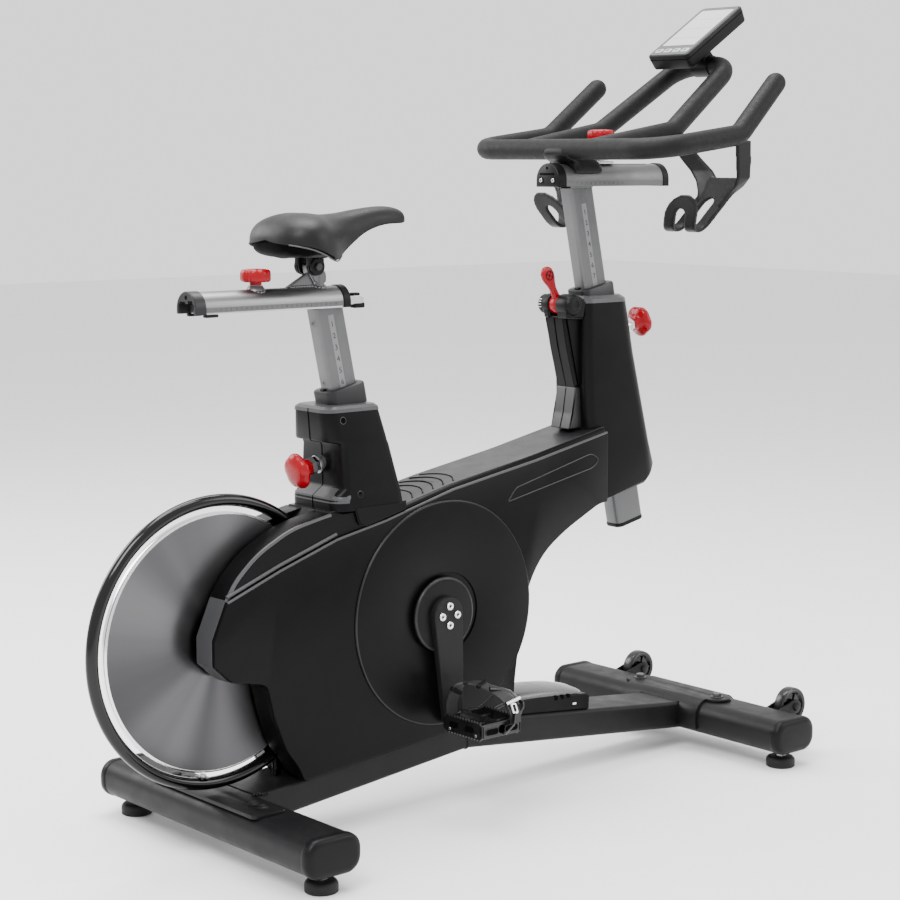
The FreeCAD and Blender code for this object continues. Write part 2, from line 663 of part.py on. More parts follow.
def toe_strap(side):
    """Band looped over the pedal's top, hollow where the shoe goes."""
    cx, cz = crank_end(side)
    h = PEDAL_H / 2
    y0, y1 = side * (PEDAL_Y0 + 14), side * (PEDAL_Y1 - 14)
    front = cx + PEDAL_L / 2 + 0.5
    top = cz + h + 52
    outer = loop_band(y0, y1, cz - h, top, 2.5)
    lift = outer.extrude(V(34, 0, 0)).translated(V(cx - 17, 0, 0))
    cut = box(cx - 60, cx + 60, -400, 400, cz - h - 20, cz + h + 3.8)
    lift = lift.cut(cut)
    low, high = sorted((y0, y1))
    tabs = [box(cx - 17, cx + 17, y, y + 2.5, cz + h + 3.4, cz + h + 6) for y in (low, high - 2.5)]
    toe = loop_band(y0 + side * 8, y1 - side * 8, cz - h, top - 14, 3)
    cage = toe.extrude(V(14, 0, 0)).translated(V(front + 26, 0, 0))
    bars = []
    for y in (low + 8, high - 14):
        bars.append(box(front, front + 30, y, y + 6, cz - 4, cz + 4))
    buckle = box(cx - 19, cx + 19, min(y1, y1 + side * 6), max(y1, y1 + side * 6), cz + h + 12, cz + h + 34)
    bridge = box(cx + 10, front + 32, (low + high) / 2 - 9, (low + high) / 2 + 9, top - 3, top)
    return fuse([lift] + tabs + [cage, buckle, bridge] + bars)


def loop_band(y0, y1, z0, z1, thick):
    """Face of a rounded arch band in the YZ plane at x = 0."""
    low, high = sorted((y0, y1))
    width, height = high - low, z1 - z0
    band = rounded_rect(width, height, 20).cut(rounded_rect(width - 2 * thick, height - 2 * thick, 20 - thick))
    face = band.Faces[0].copy()
    upright = FreeCAD.Rotation(V(0, 1, 0), 90).multiply(FreeCAD.Rotation(V(0, 0, 1), 90))
    face.Placement = FreeCAD.Placement(V(0, (low + high) / 2, (z0 + z1) / 2), upright)
    return face


# ----------------------------------------------------------------- covers
def shroud_outline(grow):
    """Side outline of the drive cover; grow widens its top and rear edges."""
    return [(-28 - grow, 288), (-56 - grow, 314), (-56 - grow, 355), (-28 - grow, 411 + grow * 0.6),
            (20, 433 + grow * 2.6), (90, 458 + grow * 3.1), (180, 486 + grow * 2.8), (280, 505 + grow * 1.6),
            (420, 541 + grow), (608, 573 + grow), (794, 611 + grow), (794, 486), (761, 482), (692, 439),
            (650, 408), (610, 365), (588, 305), (572, 245), (562, 190), (556, beam_top(556) + 0.3),
            (BEAM_PEAK[0], BEAM_PEAK[1] + 0.3), (112, beam_top(112) + 0.3), (98, 140), (76, 160),
            (56, 214), (42, 272)]


def shroud_half():
    """Right half of the drive cover, hollow, with the flywheel slot."""
    outer = loft([polygon(shroud_outline(0), -SHROUD_Y), polygon(shroud_outline(8), -SHROUD_Y + 8)])
    outer = outer.fuse(prism(shroud_outline(8), -SHROUD_Y + 8, 0))
    side = rod((CRANK[0], -SHROUD_Y - 5, CRANK[1]), (CRANK[0], -SHROUD_Y + 1, CRANK[1]), BELT_COVER_R)
    bulge = side.common(prism(shroud_outline(0), -80, 0))
    outer = outer.fuse(bulge)
    outline = Part.Face(polygon(shroud_outline(8), 0)).makeOffset2D(-SKIN, 2, False, False, True)
    hollow = outline.extrude(V(0, -SHROUD_Y + 8, 0))
    outline2 = Part.Face(polygon(shroud_outline(0), 0)).makeOffset2D(-SKIN, 2, False, False, True)
    hollow = hollow.fuse(outline2.extrude(V(0, -SHROUD_Y + SKIN, 0)))
    hollow = hollow.cut(rod((HUB[0], -19, HUB[1]), (HUB[0], 1, HUB[1]), FLY_R + 12))
    slot = rod((HUB[0], -16, HUB[1]), (HUB[0], 1, HUB[1]), FLY_R + 9)
    half = outer.cut(hollow).cut(slot)
    half = half.cut(box(-90, 60, -16, 1, 100, 600))
    ring_gap = Part.makeTorus(GUARD_R, GUARD_TUBE_R + 1.5, V(HUB[0], 0, HUB[1]), V(0, 1, 0))
    half = half.cut(ring_gap)
    half = half.cut(rod((CRANK[0], -80, CRANK[1]), (CRANK[0], 0, CRANK[1]), SPINDLE_R + 3))
    half = half.cut(box(170, 335, -60, 1, 470, 600))
    half = half.cut(rod((HUB[0], -64, HUB[1]), (HUB[0], 1, HUB[1]), FLY_PULLEY_R + 6))
    half = half.cut(box(780, 800, -60, 1, 470, 640))
    half = half.cut(box(160, 272, -16, 1, 386, 464)).cut(box(88, 118, -7, 1, 90, 165))
    half = half.cut(frame_tubes()).cut(lever_housing())
    return max(half.Solids, key=lambda s: s.Volume)


def cover_half(rings, cut):
    """Right half of a tapering sleeve through (z, x0, x1, half_width) rings."""
    def wire(z0, z1, x0, x1, y, inset):
        a, b, c = x0 + inset, x1 - inset, y - inset
        pts = [(a, -SEAM), (a, -c + cut), (a + cut, -c), (b - cut, -c), (b, -c + cut), (b, -SEAM)]
        corners = [V(px, py, z0 + (z1 - z0) * (px - x0) / (x1 - x0)) for px, py in pts]
        return Part.makePolygon(corners + corners[:1])
    shells = []
    for inset in (0, SKIN):
        wires = [wire(*ring_data, inset) for ring_data in rings]
        shells.append(loft(wires))
    return shells


def post_gap(top, z0, z1):
    """Room for the frame tube inside a cover."""
    return rect_bar(POST_X + 11, POST_Y + 11, 10, (on_axis(top, z0), 0, z0), (on_axis(top, z1), 0, z1))


def seat_cover():
    """Tower round the seat tube, with a bay for the pull knob."""
    outer, inner = cover_half([(530, 530, 182, 322, SHROUD_Y), (694, 694, 172, 282, 48)], 22)
    inner = inner.fuse(inner.translated(V(0, 0, -4))).fuse(inner.translated(V(0, 0.5, 0)))
    cap = box(160, 290, -60, 0, 690, 694.5).common(outer)
    half = outer.cut(inner).fuse(cap)
    half = half.cut(box(-300, 200, -30, 1, 556, 636))
    gap = post_gap(SEAT_TOP, 500, 720)
    return max(half.cut(gap).Solids, key=lambda s: s.Volume)


def head_cover():
    """Tall cover round the head tube."""
    rings = [(484, 520, 797, 930, 46), (647, 647, 784, 901, 46), (837, 837, 743, 856, 44)]
    outer, inner = cover_half(rings, 10)
    inner = inner.fuse(inner.translated(V(0, 0, -4))).fuse(inner.translated(V(0, 0.5, 0)))
    cap = box(700, 900, -60, 0, 832, 837).common(outer)
    half = outer.cut(inner).fuse(cap)
    gap = post_gap(BAR_TOP, 430, 860)
    half = half.cut(gap)
    p, d = pin_axis(BAR_TOP, BAR_PIN_Z, True)
    half = half.cut(Part.makeCylinder(17, 90, p + d * 20, d))
    half = half.cut(prism([(700, 440), (862, 468), (862, 600), (700, 575)], -23, 1))
    return max(half.Solids, key=lambda s: s.Volume)


def lever_housing():
    """Hollow block behind the head cover that holds the lever's hub."""
    rear = [(707, 812), (708, 800), (716, 758), (738, 684), (732, 640), (724, 613)]
    block = prism(rear + [(788, 613), (779, 665), (742, 812)], -26, 26)
    cheeks = prism([(747, 812), (745, 739), (749, 647), (754, 613), (800, 613), (800, 812)], -40, 40)
    block = block.fuse(cheeks)
    bay = [(712, 800), (720, 760), (741, 688), (735, 645), (729, 617)]
    bay = prism(bay + [(783, 617), (773, 665), (738, 800)], -22, 22)
    block = block.cut(bay)
    for side in (-1, 1):
        y0, y1 = sorted((side * 9, side * 26))
        ear = rod((LEVER_HUB[0] + 4, y0, LEVER_HUB[1]), (LEVER_HUB[0] + 4, y1, LEVER_HUB[1]), 15)
        web = prism([(707, 806), (741, 806), (734, 830), (704, 830)], y0, y1)
        block = fuse([block, ear, web])
    block = block.cut(rod((LEVER_HUB[0] + 4, -30, LEVER_HUB[1]), (LEVER_HUB[0] + 4, 30, LEVER_HUB[1]), 7 + FIT))
    block = block.cut(box(690, 760, -8.9, 8.9, 799, 860))
    face = [(797, 400), (797, 484), (783.9, 647), (742.9, 837), (735, 880)]
    cover = prism(face + [(1000, 880), (1000, 400)], -60, 60)
    return max(block.cut(cover).Solids, key=lambda s: s.Volume)


def brake_lever():
    """Lever with a round paddle tip, on its axle with two dial caps."""
    x, z = LEVER_HUB[0] + 4, LEVER_HUB[1]
    axle = rod((x, -28, z), (x, 28, z), 7)
    hub = rod((x, -8, z), (x, 8, z), 14)
    tip = (691.0, 884.0)
    stem = prism([(x - 10, z + 8), (x + 8, z + 12), (tip[0] + 9, tip[1] - 4), (tip[0] - 9, tip[1] - 8)], -5, 5)
    paddle = rod((tip[0], -6, tip[1]), (tip[0], 6, tip[1]), 13)
    caps = [rod((x, side * 26.3, z), (x, side * 36, z), 17) for side in (-1, 1)]
    return fuse([axle, hub, stem, paddle] + caps)


def beam_cover():
    """Moulded box on the front beam that joins the drive cover."""
    x0, x1 = 560.0, 756.0
    foot_line = [(x0, beam_top(x0) + 0.2), (x1, beam_top(x1) + 0.2)]
    outer = prism(foot_line + [(x1 + 1, 140), (x1 - 6, 150), (640, 164), (x0, 168)], -44, 44)
    inner = [(x0 - 1, 60), (x1 - 3, 60), (x1 - 3, 138), (x1 - 8, 147), (640, 161), (x0 - 1, 165)]
    body = outer.cut(prism(inner, -41, 41))
    for x in (668, 690, 712):
        body = body.cut(box(x, x + 10, -50, -40, 118, 138))
    front = prism([(495, beam_top(495) - 5), (545, beam_top(545) - 5), (650, 510), (590, 510)], -21, 21)
    return body.cut(front)


def post_collar(top, z0, z1):
    """Bushing round the post, on top of its frame tube."""
    a = (on_axis(top, z0), 0, z0)
    b = (on_axis(top, z1), 0, z1)
    collar = rect_bar(POST_X + 22, POST_Y + 22, 13, a, b)
    bore_a = (on_axis(top, z0 - 20), 0, z0 - 20)
    bore_b = (on_axis(top, z1 + 20), 0, z1 + 20)
    return collar.cut(rect_bar(POST_X + 0.1, POST_Y + 0.1, POST_ROUND, bore_a, bore_b))


def post_collars():
    return group([post_collar(SEAT_TOP, 705, 722), post_collar(BAR_TOP, 845, 862)])


# ------------------------------------------------------------------ saddle
def d_section(width, height, wall):
    """Outer and inner D outlines in the YZ plane at x = 0."""
    def outline(w, h, z0, flat):
        half = w / 2
        pts = [V(0, -half, z0), V(0, -half, z0 + flat)]
        left = Part.LineSegment(pts[0], pts[1]).toShape()
        arc = Part.Arc(pts[1], V(0, 0, z0 + h), V(0, half, z0 + flat)).toShape()
        right = Part.LineSegment(V(0, half, z0 + flat), V(0, half, z0)).toShape()
        base = Part.LineSegment(V(0, half, z0), V(0, -half, z0)).toShape()
        return Part.Face(Part.Wire([left, arc, right, base]))
    flat = height - width / 2
    outer = outline(width, height, 0, max(flat, 2))
    inner = outline(width - 2 * wall, height - 2 * wall, wall, max(flat - wall, 2))
    return outer, inner


def d_channel(x0, x1, z, width, height, slot, wall):
    outer, inner = d_section(width, height, wall)
    length = V(x1 - x0, 0, 0)
    solid = outer.extrude(length).cut(inner.extrude(length + V(2, 0, 0)).translated(V(-1, 0, 0)))
    solid = solid.translated(V(x0, 0, z))
    if slot:
        solid = solid.cut(box(x0 - 1, x1 + 1, -slot / 2, slot / 2, z - 1, z + wall + 1))
    return solid


def seat_post():
    """Rectangular post with its index holes and the rail welded on top."""
    a = (on_axis(SEAT_TOP, 520), 0, 520)
    b = (on_axis(SEAT_TOP, 853.5), 0, 853.5)
    hollow_end = (on_axis(SEAT_TOP, 840), 0, 840)
    post = rect_bar(POST_X, POST_Y, POST_ROUND, a, b)
    post = post.cut(rect_bar(POST_X - 5, POST_Y - 5, POST_ROUND - 2.5, a, hollow_end))
    rail = box(60, 271, -20, 20, RAIL_Z + WALL + 0.1, RAIL_Z + WALL + 11.4)
    post = post.cut(box(0, 400, -40, 40, RAIL_Z + WALL + 0.1, 900)).fuse(rail)
    for i in range(12):
        z = SEAT_PIN_Z - HOLE_PITCH * COS_L * (i - 5)
        if z > 530:
            p, d = pin_axis(SEAT_TOP, z, False)
            post = post.cut(Part.makeCylinder(5.2, 12, p + d * (POST_X / 2 - 6), d))
    return post


def saddle_slider():
    """D-shaped channel with the saddle stem and the knob's nut welded on."""
    channel = d_channel(SLIDER_X0, SLIDER_X1, RAIL_Z, RAIL_W, RAIL_H, 34, WALL)
    boss = rod((74, 0, RAIL_Z + RAIL_H - 3), (74, 0, RAIL_Z + RAIL_H + 6), 12)
    bore = rod((74, 0, RAIL_Z + 8), (74, 0, RAIL_Z + RAIL_H + 8), 6 + FIT)
    stem = rod((204, 0, RAIL_Z + RAIL_H - 3), (204, 0, 902), 10.5)
    arm = rod((SADDLE_PIVOT[0], -9, SADDLE_PIVOT[1]), (SADDLE_PIVOT[0], 9, SADDLE_PIVOT[1]), 13)
    neck = prism([(186, 894), (213, 898), (213, 906), (186, 922), (172, 900)], -9, 9)
    gusset = prism([(134, RAIL_Z + RAIL_H - 2), (198, RAIL_Z + RAIL_H - 2), (198, 901), (186, 901)], -4, 4)
    body = fuse([channel, boss, stem, arm, neck, gusset]).cut(bore)
    px, pz = SADDLE_PIVOT
    return body.cut(rod((px, -20, pz), (px, 20, pz), 5 + FIT))


def channel_cap(x0, x1, z, width, height):
    """End cap of a D channel, open where the inner rail passes."""
    outer, _ = d_section(width + 3, height + 3, WALL)
    cap = outer.extrude(V(x1 - x0, 0, 0)).translated(V(x0, 0, z - 1.5))
    cap = cap.cut(box(x0 - 1, x1 + 1, -20.5, 20.5, z + 2, z + 17))
    return cap.cut(box(x0 - 1, x1 + 1, -17, 17, z - 3, z + 5))


def slider_caps():
    rear = channel_cap(SLIDER_X0 - 20, SLIDER_X0, RAIL_Z, RAIL_W, RAIL_H)
    front = channel_cap(SLIDER_X1, SLIDER_X1 + 15, RAIL_Z, RAIL_W, RAIL_H)
    return group([rear, front])


def star_knob(base, radius, height, stem_len):
    """Upright hand knob: screw stem, waist and six-lobed head."""
    x, y, z = base
    stem = rod(base, (x, y, z + stem_len), 6)
    waist = rod((x, y, z + stem_len), (x, y, z + stem_len + 4.5), 9)
    foot_z = z + stem_len + 4
    head = rod((x, y, foot_z), (x, y, foot_z + height), radius)
    for i in range(6):
        cx = x + (radius + 5) * math.cos(rad(60 * i))
        cy = y + (radius + 5) * math.sin(rad(60 * i))
        head = head.cut(rod((cx, cy, foot_z - 1), (cx, cy, foot_z + height + 1), 9))
    top = Part.makeCone(radius * 0.72, radius * 0.45, 2, V(x, y, foot_z + height - 0.5))
    return fuse([stem, waist, head, top])


def saddle_slide_knob():
    return star_knob((74, 0, RAIL_Z + 14.6), 24, 20, 25)


def pull_knob(top, z, forward, reach, radius):
    """Spring pin and its grip, withdrawn along the pin's axis."""
    p, d = pin_axis(top, z, forward)
    tip = p + d * (POST_X / 2 + 0.3)
    pin = Part.makeCylinder(5, reach - POST_X / 2 + 2, tip, d)
    neck = Part.makeCone(12, 15, 8, p + d * reach, d)
    flare = Part.makeCone(15, radius, 9, p + d * (reach + 8), d)
    rim = Part.makeCylinder(radius, 8, p + d * (reach + 17), d)
    dome = Part.makeCone(radius, radius * 0.6, 8, p + d * (reach + 25), d)
    return fuse([pin, neck, flare, rim, dome])


def saddle_clamp():
    """Two-bolt style clamp with a cross bolt, holding the saddle's rails."""
    x, z = SADDLE_PIVOT
    cheeks = [rod((x, s * 9.4, z), (x, s * 19, z), 18) for s in (-1, 1)]
    bolt = rod((x, -24, z), (x, 24, z), 5)
    yoke = box(x - 16, x + 16, -28, 28, z + 17, z + 24)
    posts = both_sides(box(x - 14, x + 14, 9.4, 19, z + 5, z + 20))
    body = fuse(cheeks + [bolt, yoke] + posts)
    for s in (-1, 1):
        body = body.fuse(rod((x - 16, s * 24, z + 24), (x + 16, s * 24, z + 24), 6.5))
        body = body.cut(rod((x - 40, s * 24, z + 24), (x + 40, s * 24, z + 24), 3.5))
    return body


def saddle_outline(shrink):
    """Plan outline of the saddle's left half, as (x, half width)."""
    return [(93 + shrink, 24), (98, 50 - shrink), (112, 72 - shrink), (145, 83 - shrink), (180, 74 - shrink),
            (215, 48 - shrink), (255, 30 - shrink), (310, 24 - shrink), (342, 21 - shrink), (362 - shrink, 10)]


def saddle_plan(shrink, z):
    left = saddle_outline(shrink)
    points = [V(x, y, z) for x, y in left] + [V(x, -y, z) for x, y in reversed(left)]
    curve = Part.BSplineCurve()
    curve.interpolate(points, PeriodicFlag=True)
    return Part.Wire(curve.toShape())


SKIRT = [(84, 944), (120, 938), (158, 926), (190, 921), (216, 931), (250, 952), (300, 966), (372, 980)]
CROWN = [(372, 992), (340, 1005), (290, 1006), (205, 997), (150, 1000), (118, 993), (96, 974), (88, 952)]
TRAY = [(66, 940), (120, 938), (200, 950), (300, 970), (362, 981)]


def saddle_cushion():
    """Dished pad with a rising nose and side skirts that hang round the tray."""
    plan = Part.Face(saddle_plan(0, 900)).extrude(V(0, 0, 140))
    solid = plan.common(prism(SKIRT + CROWN, -120, 120))
    inside = Part.Face(saddle_plan(9, 890)).extrude(V(0, 0, 140))
    hollow = inside.common(prism([(60, 880)] + TRAY + [(372, 983), (372, 880)], -120, 120))
    solid = solid.cut(hollow).cut(saddle_shell())
    return max(solid.Solids, key=lambda s: s.Volume)


def saddle_shell():
    """Moulded base under the cushion, with the two steel rails."""
    plan = Part.Face(saddle_plan(9, 900)).extrude(V(0, 0, 140))
    layer = prism(TRAY + [(x, z + 5.7) for x, z in reversed(TRAY)], -120, 120)
    tray = max(plan.common(layer).Solids, key=lambda s: s.Volume)
    x, z = SADDLE_PIVOT
    rails = []
    for s in (-1, 1):
        line = [(112, s * 34, z + 30), (134, s * 24, z + 24), (222, s * 24, z + 24), (300, s * 12, 972)]
        path = tube_path(line, [20, 30])
        rails.append(pipe(path, 3.45))
    return fuse([tray] + rails)


# --------------------------------------------------------------- handlebar
def handlebar_post():
    """Post with its index holes and the D-shaped rail welded on top."""
    a = (on_axis(BAR_TOP, 640), 0, 640)
    b = (on_axis(BAR_TOP, BAR_RAIL_Z + 6), 0, BAR_RAIL_Z + 6)
    post = rect_bar(POST_X, POST_Y, POST_ROUND, a, b)
    post = post.cut(rect_bar(POST_X - 5, POST_Y - 5, POST_ROUND - 2.5, a, b))
    post = post.cut(box(600, 900, -60, 60, BAR_RAIL_Z + 1, 1200))
    rail = d_channel(BAR_RAIL_X0, BAR_RAIL_X1, BAR_RAIL_Z, BAR_RAIL_W, BAR_RAIL_H, 0, WALL)
    slot = rod((768, 0, 1060), (768, 0, 1080), 6.5).fuse(box(768, 928, -6.5, 6.5, 1060, 1080))
    slot = slot.fuse(rod((928, 0, 1060), (928, 0, 1080), 6.5))
    body = fuse([post, rail]).cut(slot)
    for i in range(14):
        z = BAR_PIN_Z - HOLE_PITCH * COS_L * (i - 6)
        if 650 < z:
            p, d = pin_axis(BAR_TOP, z, True)
            body = body.cut(Part.makeCylinder(5.2, 12, p + d * (POST_X / 2 - 6), d))
    return body


def rail_caps():
    """Closed end caps of the handlebar rail, each with two screws."""
    caps = []
    for x0, x1 in ((BAR_RAIL_X0 - 20, BAR_RAIL_X0), (BAR_RAIL_X1, BAR_RAIL_X1 + 15)):
        outer, _ = d_section(BAR_RAIL_W + 3, BAR_RAIL_H + 3, WALL)
        cap = outer.extrude(V(x1 - x0, 0, 0)).translated(V(x0, 0, BAR_RAIL_Z - 1.5))
        edge = x0 if x0 < BAR_RAIL_X0 else x1
        cap = cap.cut(box(edge - 5, edge + 5, -19, 19, BAR_RAIL_Z + 13, BAR_RAIL_Z + 20))
        caps.append(cap)
    return group(caps)


def bar_neck():
    """Moulded saddle that slides on the rail and grips the bar."""
    top = GRIP_Z + 2
    block = box(726, 800, -24, 24, BAR_RAIL_Z + BAR_RAIL_H - 14, GRIP_Z - 8)
    hood = rod((GRIP_X + 12, -24, GRIP_Z - 6), (GRIP_X + 12, 24, GRIP_Z - 6), 22)
    outer, _ = d_section(BAR_RAIL_W + 10, BAR_RAIL_H + 5, WALL)
    skirt = outer.extrude(V(74, 0, 0)).translated(V(726, 0, BAR_RAIL_Z))
    skirt = skirt.cut(box(700, 830, -60, 60, 1000, BAR_RAIL_Z + 20))
    body = fuse([block, hood, skirt]).cut(box(600, 900, -60, 60, top, 1200))
    rail, _ = d_section(BAR_RAIL_W + 0.2, BAR_RAIL_H + 0.1, WALL)
    body = body.cut(rail.extrude(V(300, 0, 0)).translated(V(650, 0, BAR_RAIL_Z)))
    body = body.cut(rod((812, 0, 1000), (812, 0, 1200), 30))
    body = body.cut(rod((GRIP_X, -60, GRIP_Z), (GRIP_X, 60, GRIP_Z), BAR_R))
    tongue = box(780, 838, -16, 16, BAR_RAIL_Z + BAR_RAIL_H + 0.3, BAR_RAIL_Z + BAR_RAIL_H + 6)
    body = body.fuse(tongue)
    return body.cut(rod((818, 0, 1000), (818, 0, 1200), 6 + FIT))


def bar_half_points():
    """Centre line of the outer bar on the left side, from corner to horn."""
    return [(GRIP_X, BAR_HALF, GRIP_Z - 2), (915, BAR_HALF + 2, 1123), (1023, BAR_HALF - 13, 1213)]


def handlebar():
    """Outer bar with raised horns and the inner loop, one welded tube."""
    left = bar_half_points()
    line = [(x, -y, z) for x, y, z in reversed(left)] + left
    outer = pipe(tube_path(line, [45, 62, 62, 45]), BAR_R)
    tips = [Part.makeSphere(BAR_R, V(*p)) for p in (line[0], line[-1])]
    loop_pts = [(GRIP_X + 4, -80, 1101), (904, -90, 1131), (1082, -62, 1250)]
    loop_pts += [(x, -y, z) for x, y, z in reversed(loop_pts)]
    loop = pipe(tube_path(loop_pts, [40, 46, 46, 40]), BAR_R)
    return fuse([outer, loop] + tips)


def ribbon(points, thickness):
    """Outline of a strip of the given thickness along an open polyline."""
    near, far = [], []
    for i, (x, z) in enumerate(points):
        x0, z0 = points[max(i - 1, 0)]
        x1, z1 = points[min(i + 1, len(points) - 1)]
        span = math.hypot(x1 - x0, z1 - z0)
        nx, nz = (z0 - z1) / span * thickness / 2, (x1 - x0) / span * thickness / 2
        near.append((x + nx, z + nz))
        far.append((x - nx, z - nz))
    return near + far[::-1]


def cross_prism(points, x0, x1):
    """Prism along X whose outline is given as (y, z) points."""
    corners = [V(x0, y, z) for y, z in points]
    return Part.Face(Part.makePolygon(corners + corners[:1])).extrude(V(x1 - x0, 0, 0))


def slanted(half, z0, z1):
    """Sheared slab that the carrier's hook is trimmed to, centred on its lean."""
    low, high = [-145 - (z - 962) * 0.59 for z in (z0, z1)]
    return cross_prism([(low - half, z0), (low + half, z0), (high + half, z1), (high - half, z1)], 780, 980)


def bottle_holder():
    """Slotted J-shaped carrier hung from the horn and the loop, right side."""
    hook = [(935, 1050), (918, 1018), (902, 984), (894, 968), (884, 960), (872, 960)]
    hook += [(862, 968), (854, 984), (841, 1020)]
    body = prism(ribbon(hook, 5), -300, -60).common(slanted(39, 940, 1060))
    body = body.cut(slanted(13, 950, 1024).cut(box(836, 846, -300, 0, 1008, 1040)))
    outer = box(916, 948, -236, -231, 1040, 1112)
    foot_out = cross_prism([(-236, 1044), (-231, 1044), (-222, 1034), (-228, 1034)], 914, 944)
    inner = cross_prism(ribbon([(-94, 1124), (-108, 1084), (-132, 1052), (-166, 1034)], 5), 902, 930)
    return fuse([body, outer, foot_out, inner])


def bottle_holders():
    holder = bottle_holder().cut(handlebar())
    solid = max(holder.Solids, key=lambda s: s.Volume)
    return group(both_sides(solid))


def bar_slide_knob():
    return star_knob((818, 0, BAR_RAIL_Z + BAR_RAIL_H - 6), 24, 20, 41)


def console_frame(u, w):
    """Point on the console: u along its length, w out of its face."""
    t = rad(CONSOLE_TILT)
    x = CONSOLE_LOW[0] + u * math.cos(t) - w * math.sin(t)
    z = CONSOLE_LOW[1] + u * math.sin(t) + w * math.cos(t)
    return x, z


def console():
    """Display housing with a recessed window and a hinge lug behind it."""
    corners = [(0, 0), (CONSOLE_L, 0), (CONSOLE_L - 4, -CONSOLE_T), (6, -CONSOLE_T)]
    body = prism([console_frame(u, w) for u, w in corners], -CONSOLE_W / 2, CONSOLE_W / 2)
    window = [(36, -1.5), (CONSOLE_L - 12, -1.5), (CONSOLE_L - 12, 2), (36, 2)]
    body = body.cut(prism([console_frame(u, w) for u, w in window], -40, 40))
    px, pz = CONSOLE_PIVOT
    root = [console_frame(62, -CONSOLE_T + 1), console_frame(118, -CONSOLE_T + 1)]
    lug = prism(root + [(px + 6.5, pz), (px - 6.5, pz)], -10, 10)
    eye = rod((px, -10, pz), (px, 10, pz), 7)
    pin = rod((px, -19, pz), (px, 19, pz), 4)
    return fuse([body, lug, eye, pin])


def console_mount():
    """Clamp round the loop's crossbar with two ears for the console's pin."""
    cx, cz = 1082.0, 1250.0
    clamp = rod((cx, -20, cz), (cx, 20, cz), BAR_R + 2.5).cut(rod((cx, -21, cz), (cx, 21, cz), BAR_R))
    px, pz = CONSOLE_PIVOT
    ears = []
    for side in (-1, 1):
        y0, y1 = sorted((side * 10.4, side * 15))
        ears.append(rod((px, y0, pz), (px, y1, pz), 6.5))
        web = [(cx - 18, cz + 8), (cx + 8, cz + 17), (px + 6.5, pz), (px - 6.5, pz)]
        ears.append(prism(web, y0, y1))
    body = fuse([clamp] + ears)
    body = body.cut(handlebar())
    return body.cut(rod((px, -25, pz), (px, 25, pz), 4 + FIT))


# ------------------------------------------------------------------ export
def build_nodes():
    NODES["rear_stabiliser"] = stabiliser(0)
    NODES["front_stabiliser"] = stabiliser(WHEELBASE)
    NODES["stabiliser_caps"] = stabiliser_caps()
    NODES["base_beams"] = base_beams()
    NODES["base_brackets"] = base_brackets()
    NODES["base_bolts"] = base_bolts()
    for name, x in (("rear", 0), ("front", WHEELBASE)):
        NODES[name + "_right_foot"] = foot(x, -FOOT_Y)
        NODES[name + "_left_foot"] = foot(x, FOOT_Y)
    NODES["right_transport_wheel"] = transport_wheel(-1)
    NODES["left_transport_wheel"] = transport_wheel(1)
    NODES["seat_tube"] = seat_tube()
    NODES["head_tube"] = head_tube()
    NODES["frame_tubes"] = frame_tubes()
    NODES["magnet_carrier"] = magnet_carrier()
    NODES["guard_ring"] = guard_ring()
    NODES["flywheel"] = flywheel()
    NODES["flywheel_pulley"] = flywheel_pulley()
    NODES["flywheel_bearings"] = flywheel_bearings()
    NODES["flywheel_axle"] = flywheel_axle()
    NODES["crank_bearings"] = crank_bearings()
    NODES["drive_belt"] = drive_belt()
    NODES["drive_pulley"] = drive_pulley()
    NODES["crank_spindle"] = crank_spindle()
    NODES["crank_bolts"] = crank_bolts()
    for name, side in (("right", -1), ("left", 1)):
        NODES[name + "_crank"] = crank(side)
        NODES[name + "_pedal"] = pedal(side)
        NODES[name + "_toe_strap"] = toe_strap(side)
    for name, half in (("shroud", shroud_half()), ("seat_cover", seat_cover()), ("head_cover", head_cover())):
        NODES[name + "_right"] = half
        NODES[name + "_left"] = mirror_y(half)
    NODES["lever_housing"] = lever_housing()
    NODES["brake_lever"] = brake_lever()
    NODES["beam_cover"] = beam_cover()
    NODES["post_collars"] = post_collars()
    NODES["seat_post"] = seat_post()
    NODES["saddle_slider"] = saddle_slider()
    NODES["slider_caps"] = slider_caps()
    NODES["saddle_slide_knob"] = saddle_slide_knob()
    NODES["seat_pull_knob"] = pull_knob(SEAT_TOP, SEAT_PIN_Z, False, SEAT_PIN_REACH, 28)
    NODES["saddle_clamp"] = saddle_clamp()
    NODES["saddle_shell"] = saddle_shell()
    NODES["saddle_cushion"] = saddle_cushion()
    NODES["handlebar_post"] = handlebar_post()
    NODES["rail_caps"] = rail_caps()
    NODES["head_pull_knob"] = pull_knob(BAR_TOP, BAR_PIN_Z, True, BAR_PIN_REACH, 26)
    NODES["bar_neck"] = bar_neck().cut(handlebar())
    NODES["handlebar"] = handlebar()
    NODES["bottle_holders"] = bottle_holders()
    NODES["bar_slide_knob"] = bar_slide_knob()
    NODES["console"] = console()
    NODES["console_mount"] = console_mount()


def main():
    os.makedirs("parts", exist_ok=True)
    build_nodes()
    for name, shape in NODES.items():
        moved = shape.copy()
        moved.translate(V(-ORIGIN_X, 0, 0))
        moved.exportStep("parts/" + name + ".step")


main()
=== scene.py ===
from math import cos, exp, pi, radians, sin, sqrt, tan

import bmesh
import bpy
from mathutils import Matrix, Vector


